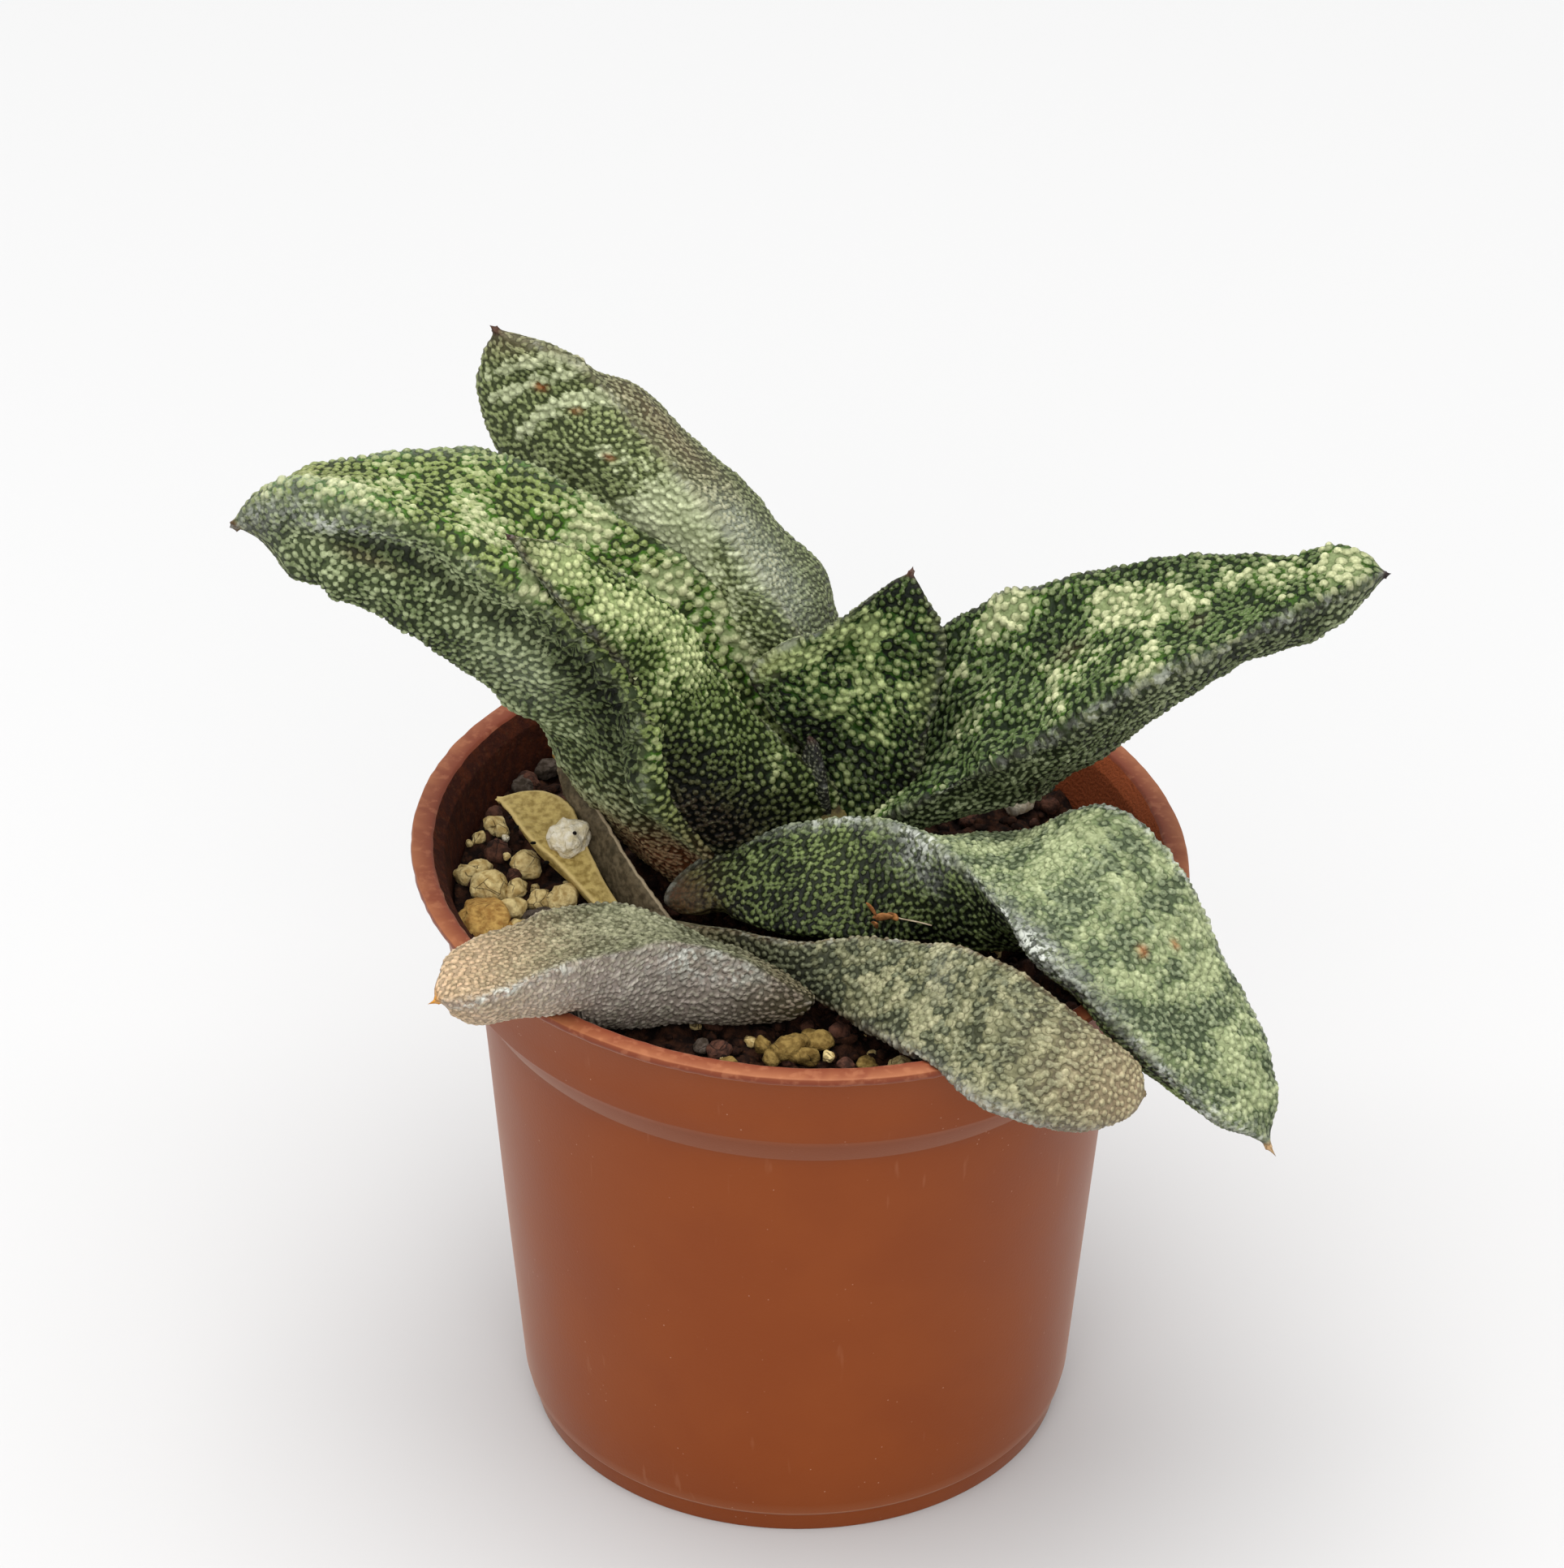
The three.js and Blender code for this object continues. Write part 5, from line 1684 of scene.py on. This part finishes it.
            (0.4, 0.3, 4, 6, 0.35), (0.6, -0.6, 2.2, 4, 0.4), (0.37, -0.6, 3, 2.5, -0.6),
            (0.72, 0.3, 2, 6, 0.2), (0.85, 0.2, 2, 5, -0.3),
        ), Field.BARE: (
            (0.586, -0.9, 1.8, 2, 0.5),
        ), Field.TINT: (
            (0.586, -0.9, 1.8, 2, 0.9),
        )},
    ),
    Leaf(
        "leaf_bud", "leaf_dark", round=1.7, lip=0.4, blunt=0.95, mucro=0.4, pale=0.1, mottle=0.3, pitch=0.7,
        wart=0.15, ripple=0.1, spacing=0.2,
        stations=(
            (0, 3, 81.5, 4, 2, 82, 2.5, 0, 0), (0, 1.5, 86, 3.5, 0.5, 86, 2.2, 0, 0),
            (0, 1.5, 90, 3, 0.5, 90, 2, 0, 0), (0.5, 2, 92.5, 2, 1, 93, 1.5, 0, 0),
            (1, 2, 94, 1.3, 2, 94, 1, 0, 0),
        ),
        skin=LeafSkin(
            ground="#1c1e18", lush="#2a2e22", wart="#3a3c33", pale="#5c5d4e", flank="#1f201b",
            flank_wart="#34342e", flank_pale="#4a4a42", margin="#2a2528", tip="#3a2a24",
        ),
    ),
    Leaf(
        "leaf_front_right", "leaf_pale", round=1.6, lip=0.9, blunt=0.92, mucro=1.4, pale=0.4, mottle=0.16,
        pitch=0.8, wart=0.36, ripple=0.5, spacing=0.28, bands=(9.5, 0.2, 0.35),
        stations=(
            (-14.5, -6, 74, -17, -8, 77, 4, 0.5, 0), (-9.5, -3, 74.5, -12.5, -4.5, 80, 9, 0.5, 0),
            (-3, -1.5, 76, -5.5, -4, 84, 13.5, 0.6, 0), (5.5, -1.5, 77.5, 3.5, -5.5, 87, 15, 0.6, 0.5),
            (17, 0, 80, 12, -9.5, 88.5, 13, 0.5, 1), (28, -4, 84.5, 20, -18.5, 88.5, 11, 0.4, 1),
            (37.5, -9.5, 92, 26.5, -30.5, 87, 9.5, 0.2, 1), (45.5, -16, 86.5, 34, -36, 83, 8.5, 0.1, 0.5),
            (53, -22, 74, 42, -39.5, 76, 8, 0.1, 0), (56.5, -29.5, 67.5, 48.5, -39, 68, 5, 0, -0.4),
            (56.5, -35, 60.5, 56.5, -36, 61, 1.2, 0, 0),
        ),
        # The near-black ground of its underside is partly its own dark green and partly painted shade, as the
        # underside faces down.
        skin=LeafSkin(
            merge=0.6, ground="#48533b", lush="#78855e", wart="#7b8669", pale="#b4bc91", flank="#0c1205",
            flank_wart="#4c5a30", flank_pale="#84945a", margin="#585a53", tint="#65442f", stain="#40281a",
            bloom="#5b5c5a", tip="#b8966c",
        ),
        marks={Field.DEEP: (
            (0.22, -2.1, 24, 8, 1.0), (0.47, -2.2, 14, 5, 0.5), (0.6, -2.6, 12, 2.5, 0.3),
        ), Field.PALE: (
            (0.6, 0.0, 8, 8, 0.15), (0.73, -0.2, 3, 8, 0.35), (0.69, 0.1, 2, 6, -0.4),
            (0.78, 0.4, 3, 5, -0.25), (0.85, 0.3, 5, 3, -0.15), (0.89, 0.0, 4, 4, 0.4),
            (0.766, -0.4, 3, 4, 0.4), (0.25, -2.5, 14, 6, 0.2), (0.52, -2.6, 8, 4, -0.2),
        ), Field.DUST: (
            (0.431, -2.9, 3, 2.5, 0.9), (0.6, 0.95, 5, 2, 0.9), (0.636, -2.9, 5, 1.5, 0.8),
            (0.8, -2.98, 8, 1, 0.7), (0.93, 0.9, 5, 2, 0.6), (0.7, -0.95, 22, 0.8, 0.5),
            (0.35, 1.0, 20, 0.7, 0.5),
        ), Field.BLOOM: (
            (0.43, -2.85, 5, 2.5, 0.6), (0.6, 0.9, 6, 3, 0.6), (0.7, 0.9, 8, 2, 0.5),
        ), Field.RUST: (
            (0.715, 0.1, 0.6, 0.9, 0.7), (0.732, -0.3, 0.6, 0.6, 0.6),
        ), Field.BARE: (
            (0.03, 0.9, 4, 9, 1.0),
        ), Field.TINT: (
            (0.03, 0.9, 5, 9, 1.0),
        )},
    ),
    Leaf(
        "leaf_front", "leaf_bronze", round=1.7, lip=0.9, blunt=0.95, mucro=0.3, pale=0.4, mottle=0.14,
        pitch=0.8, wart=0.34, ripple=0.4, spacing=0.28, bands=(4.6, 0.14, 0.25),
        stations=(
            (-19, -11.5, 76, -15, -13.5, 74, 3, 0, 0), (-9.5, -15.5, 78, -7.5, -18.5, 75, 5, 0, 0),
            (0, -21, 80, 0, -25, 75.5, 6, 0, 0.3), (9, -22.5, 82, 8, -33.5, 76.5, 7, 0, 0),
            (18, -28.5, 84.5, 15, -44.5, 79, 5, 0, 0), (26.5, -36.5, 86, 22, -51.5, 78, 6, 0, -0.5),
            (34.5, -41, 82, 30, -51.5, 75, 6.5, 0, -0.8), (39.5, -40, 76, 37.5, -46.5, 72, 5, 0, -0.6),
            (41, -41, 73, 41, -42, 72.5, 2, 0, 0),
        ),
        skin=LeafSkin(
            ground="#3b3e2c", lush="#727254", wart="#6d7059", pale="#ada987", flank="#3d4032",
            flank_wart="#737664", flank_pale="#979882", margin="#7a5b45", tint="#b2a382", stain="#9a886d",
            merge=0.7, bloom="#7f8079", tip="#8c7a5c",
        ),
        marks={Field.DEEP: (
            (0.12, 0, 16, 14, 1.0), (0.3, 0.9, 12, 4, 0.7),
        ), Field.TINT: (
            (0.84, 0.0, 9, 12, 0.85), (1.0, 0.0, 5, 12, 0.5), (0.0, 0, 10, 12, 0.9),
        ), Field.BARE: (
            (0.03, 0, 9, 12, 1.0),
        ), Field.PALE: (
            (0.2, 0.4, 8, 5, -0.6), (0.45, 0.2, 8, 4, 0.25),
        ), Field.BLOOM: (
            (0.55, 1.0, 22, 1.8, 0.6), (0.5, -0.4, 2, 4, 0.3),
        ), Field.DUST: (
            (0.6, 1.0, 22, 1.0, 0.25), (0.3, -0.95, 14, 1, 0.4),
        )},
    ),
    Leaf(
        "leaf_front_left", "leaf_silver", round=1.7, lip=0.9, blunt=0.92, mucro=1.2, pale=0.42, mottle=0.15,
        pitch=0.75, ripple=0.35, spacing=0.27,
        stations=(
            (3, -29.5, 76, -2.5, -18.5, 75, 4, 0, 0), (-4.5, -28, 80, -10, -18, 77.5, 8, -0.2, 0.5),
            (-13, -28, 84, -18, -14.5, 79, 11.5, -0.2, 1),
            (-22, -33.5, 86.5, -25.5, -15.5, 81.5, 11.5, -0.2, 1),
            (-30, -38.5, 87, -33.5, -22.5, 83.5, 7.5, -0.2, 0.5), (-37, -42, 86, -40.5, -29.5, 84.5, 6, 0, 0),
            (-41, -41.5, 85, -42.5, -36, 85, 3.2, 0, 0), (-42.7, -40, 84.5, -43, -39, 84.2, 1, 0, 0),
        ),
        skin=LeafSkin(
            ground="#50503a", lush="#727359", wart="#74745e", pale="#a7a689", flank="#a2948a",
            flank_wart="#aea198", flank_pale="#d0c7ba", margin="#9a8a84", tint="#d9b795", stain="#b39a7e",
            merge=0.7, bloom="#8f8a86", tip="#c98a34",
        ),
        # At the base, beneath leaf_front, both the darkening and the mark that takes the pale warts away are
        # painted shade.
        marks={Field.DEEP: (
            (0.0, -1.3, 13, 20, 1.0),
        ), Field.PALE: (
            (0.0, -1.3, 12, 20, -0.7), (0.343, 0.5, 7, 6, 0.4),
        ), Field.TINT: (
            (0.85, 0.2, 14, 16, 0.95), (0.65, -1.5, 12, 3, 0.35), (0.05, -1, 5, 12, 0.3),
        ), Field.DUST: (
            (0.65, -0.98, 7, 0.8, 1.0), (0.25, -1.1, 6, 1.6, 0.8),
        ), Field.BLOOM: (
            (0.45, -1.3, 16, 3, 0.5),
        )},
    ),
    Leaf(
        "dry_leaf", "dry_leaf", round=1.5, lip=0.4, blunt=0.9, mucro=0.4, mottle=0.3, pitch=0.9, wart=0.08,
        ripple=0.2,
        stations=(
            (-23.6, -6.0, 73.2, -21.5, -4.5, 73.2, 1.6, -0.4, 0),
            (-26.8, -2.8, 75.2, -23.5, -2, 75.2, 2.4, -0.6, 0.4),
            (-29.7, 0.4, 76.8, -25, 1, 76.8, 2.8, -0.7, 0.9),
            (-32.4, 3.2, 77.7, -26.6, 5, 78.3, 2.9, -0.7, 1.2),
            (-34.4, 6.3, 78.2, -28, 9, 79.3, 2.6, -0.7, 1.1),
            (-35.7, 9.0, 78.4, -31.5, 12, 79.2, 1.8, -0.5, 0.6), (-37, 11.5, 78, -37, 12.3, 78.2, 0.8, 0, 0),
        ),
        skin=DeadLeaf(),
    ),
)

# ------------------------------------------------------------------ studio


@dataclass(frozen=True)
class Studio:
    """Pale floor, soft lights and the camera.

    Attributes:
        tilt: how far the camera looks down, in degrees.
        distance: from the camera to the rim, in millimetres.
        aside: sideways shift of the view.
        lift: upward shift of the view.
        roll: turn of the picture in degrees.
        lens: focal length for a 36 mm picture.
        rim: height that the camera looks at.
        air: strength of the light from all around.
        lamps: name, place and side in metres, and power in watts, of each soft light.
    """

    tilt: float = 34.02
    distance: float = 1181.37
    aside: float = 2.166
    lift: float = -8.023
    roll: float = -0.33
    lens: float = 223.6
    rim: float = 78.9
    air: float = 0.82
    lamps: tuple = (
        ("overhead_softbox", (-0.03, 0.0, 1.3), 1.1, 15.6),
        ("front_softbox", (-0.03, -1.2, 0.9), 1.0, 8.0),
    )

    def camera(self) -> None:
        """Place the camera and make it the scene's own."""
        e, r = math.radians(self.tilt), math.radians(self.roll)
        right = np.array([1.0, 0, 0])
        ahead = np.array([0, math.cos(e), -math.sin(e)])
        up = np.array([0, math.sin(e), math.cos(e)])
        spot = np.array([0, 0, self.rim]) - self.distance * ahead - self.aside * right - self.lift * up
        c, s = math.cos(r), math.sin(r)
        axes = np.stack([c * right - s * up, s * right + c * up, -ahead], 1)
        matrix = Matrix(axes.tolist()).to_4x4()
        matrix.translation = spot * MM
        data = bpy.data.cameras.new("camera")
        data.lens = self.lens
        data.sensor_width = 36
        data.clip_start = 0.01
        made = bpy.data.objects.new("camera", data)
        bpy.context.scene.collection.objects.link(made)
        made.matrix_world = matrix
        bpy.context.scene.camera = made

    def lamp(self, name: str, spot: tuple, size: float, watts: float) -> None:
        """Hang one square soft light that faces the plant.

        Args:
            name: name of the light.
            spot: its place in metres.
            size: side of the light in metres.
            watts: its power.
        """
        data = bpy.data.lights.new(name, "AREA")
        data.shape = "SQUARE"
        data.size = size
        data.energy = watts
        made = bpy.data.objects.new(name, data)
        bpy.context.scene.collection.objects.link(made)
        z = np.array(spot, float) - [0, 0, 0.08]
        z /= np.linalg.norm(z)
        x = np.cross([0, 1, 0.001], z)
        x /= np.linalg.norm(x)
        matrix = Matrix(np.stack([x, np.cross(z, x), z], 1).tolist()).to_4x4()
        matrix.translation = spot
        made.matrix_world = matrix

    def make(self) -> None:
        """Lay the floor, hang the lights and set the camera."""
        bm = bmesh.new()
        bmesh.ops.create_circle(bm, cap_ends=True, segments=96, radius=4.0)
        mesh = mesh_of(bm, "studio_floor")
        floor = bpy.data.objects.new("studio_floor", mesh)
        bpy.context.scene.collection.objects.link(floor)
        paint = Paint("matt_white_paper", 0.9, shine=0.2)
        colour = paint.layer(paint.grain(300, 1), "#c7c7c7", "#c9c9c9")
        mesh.materials.append(paint.done(colour))
        world = bpy.data.worlds.new("studio_air")
        world.use_nodes = True
        light = world.node_tree.nodes["Background"].inputs
        light["Color"].default_value = linear("#ffffff")
        light["Strength"].default_value = self.air
        bpy.context.scene.world = world
        bpy.context.scene.view_settings.view_transform = "Standard"
        for lamp in self.lamps:
            self.lamp(*lamp)
        self.camera()


def main() -> None:
    """Build the pot, the soil and the plant in order, then the studio."""
    logging.basicConfig(level=logging.INFO, format="%(name)s %(message)s")
    Studio().make()
    Pot().make()
    Soil().make()
    Stem().make()
    Sheath().make()
    DriedFlower().make()
    for number, leaf in enumerate(LEAVES):
        leaf.make(100 + 10 * number)


if __name__ == "__main__":
    main()
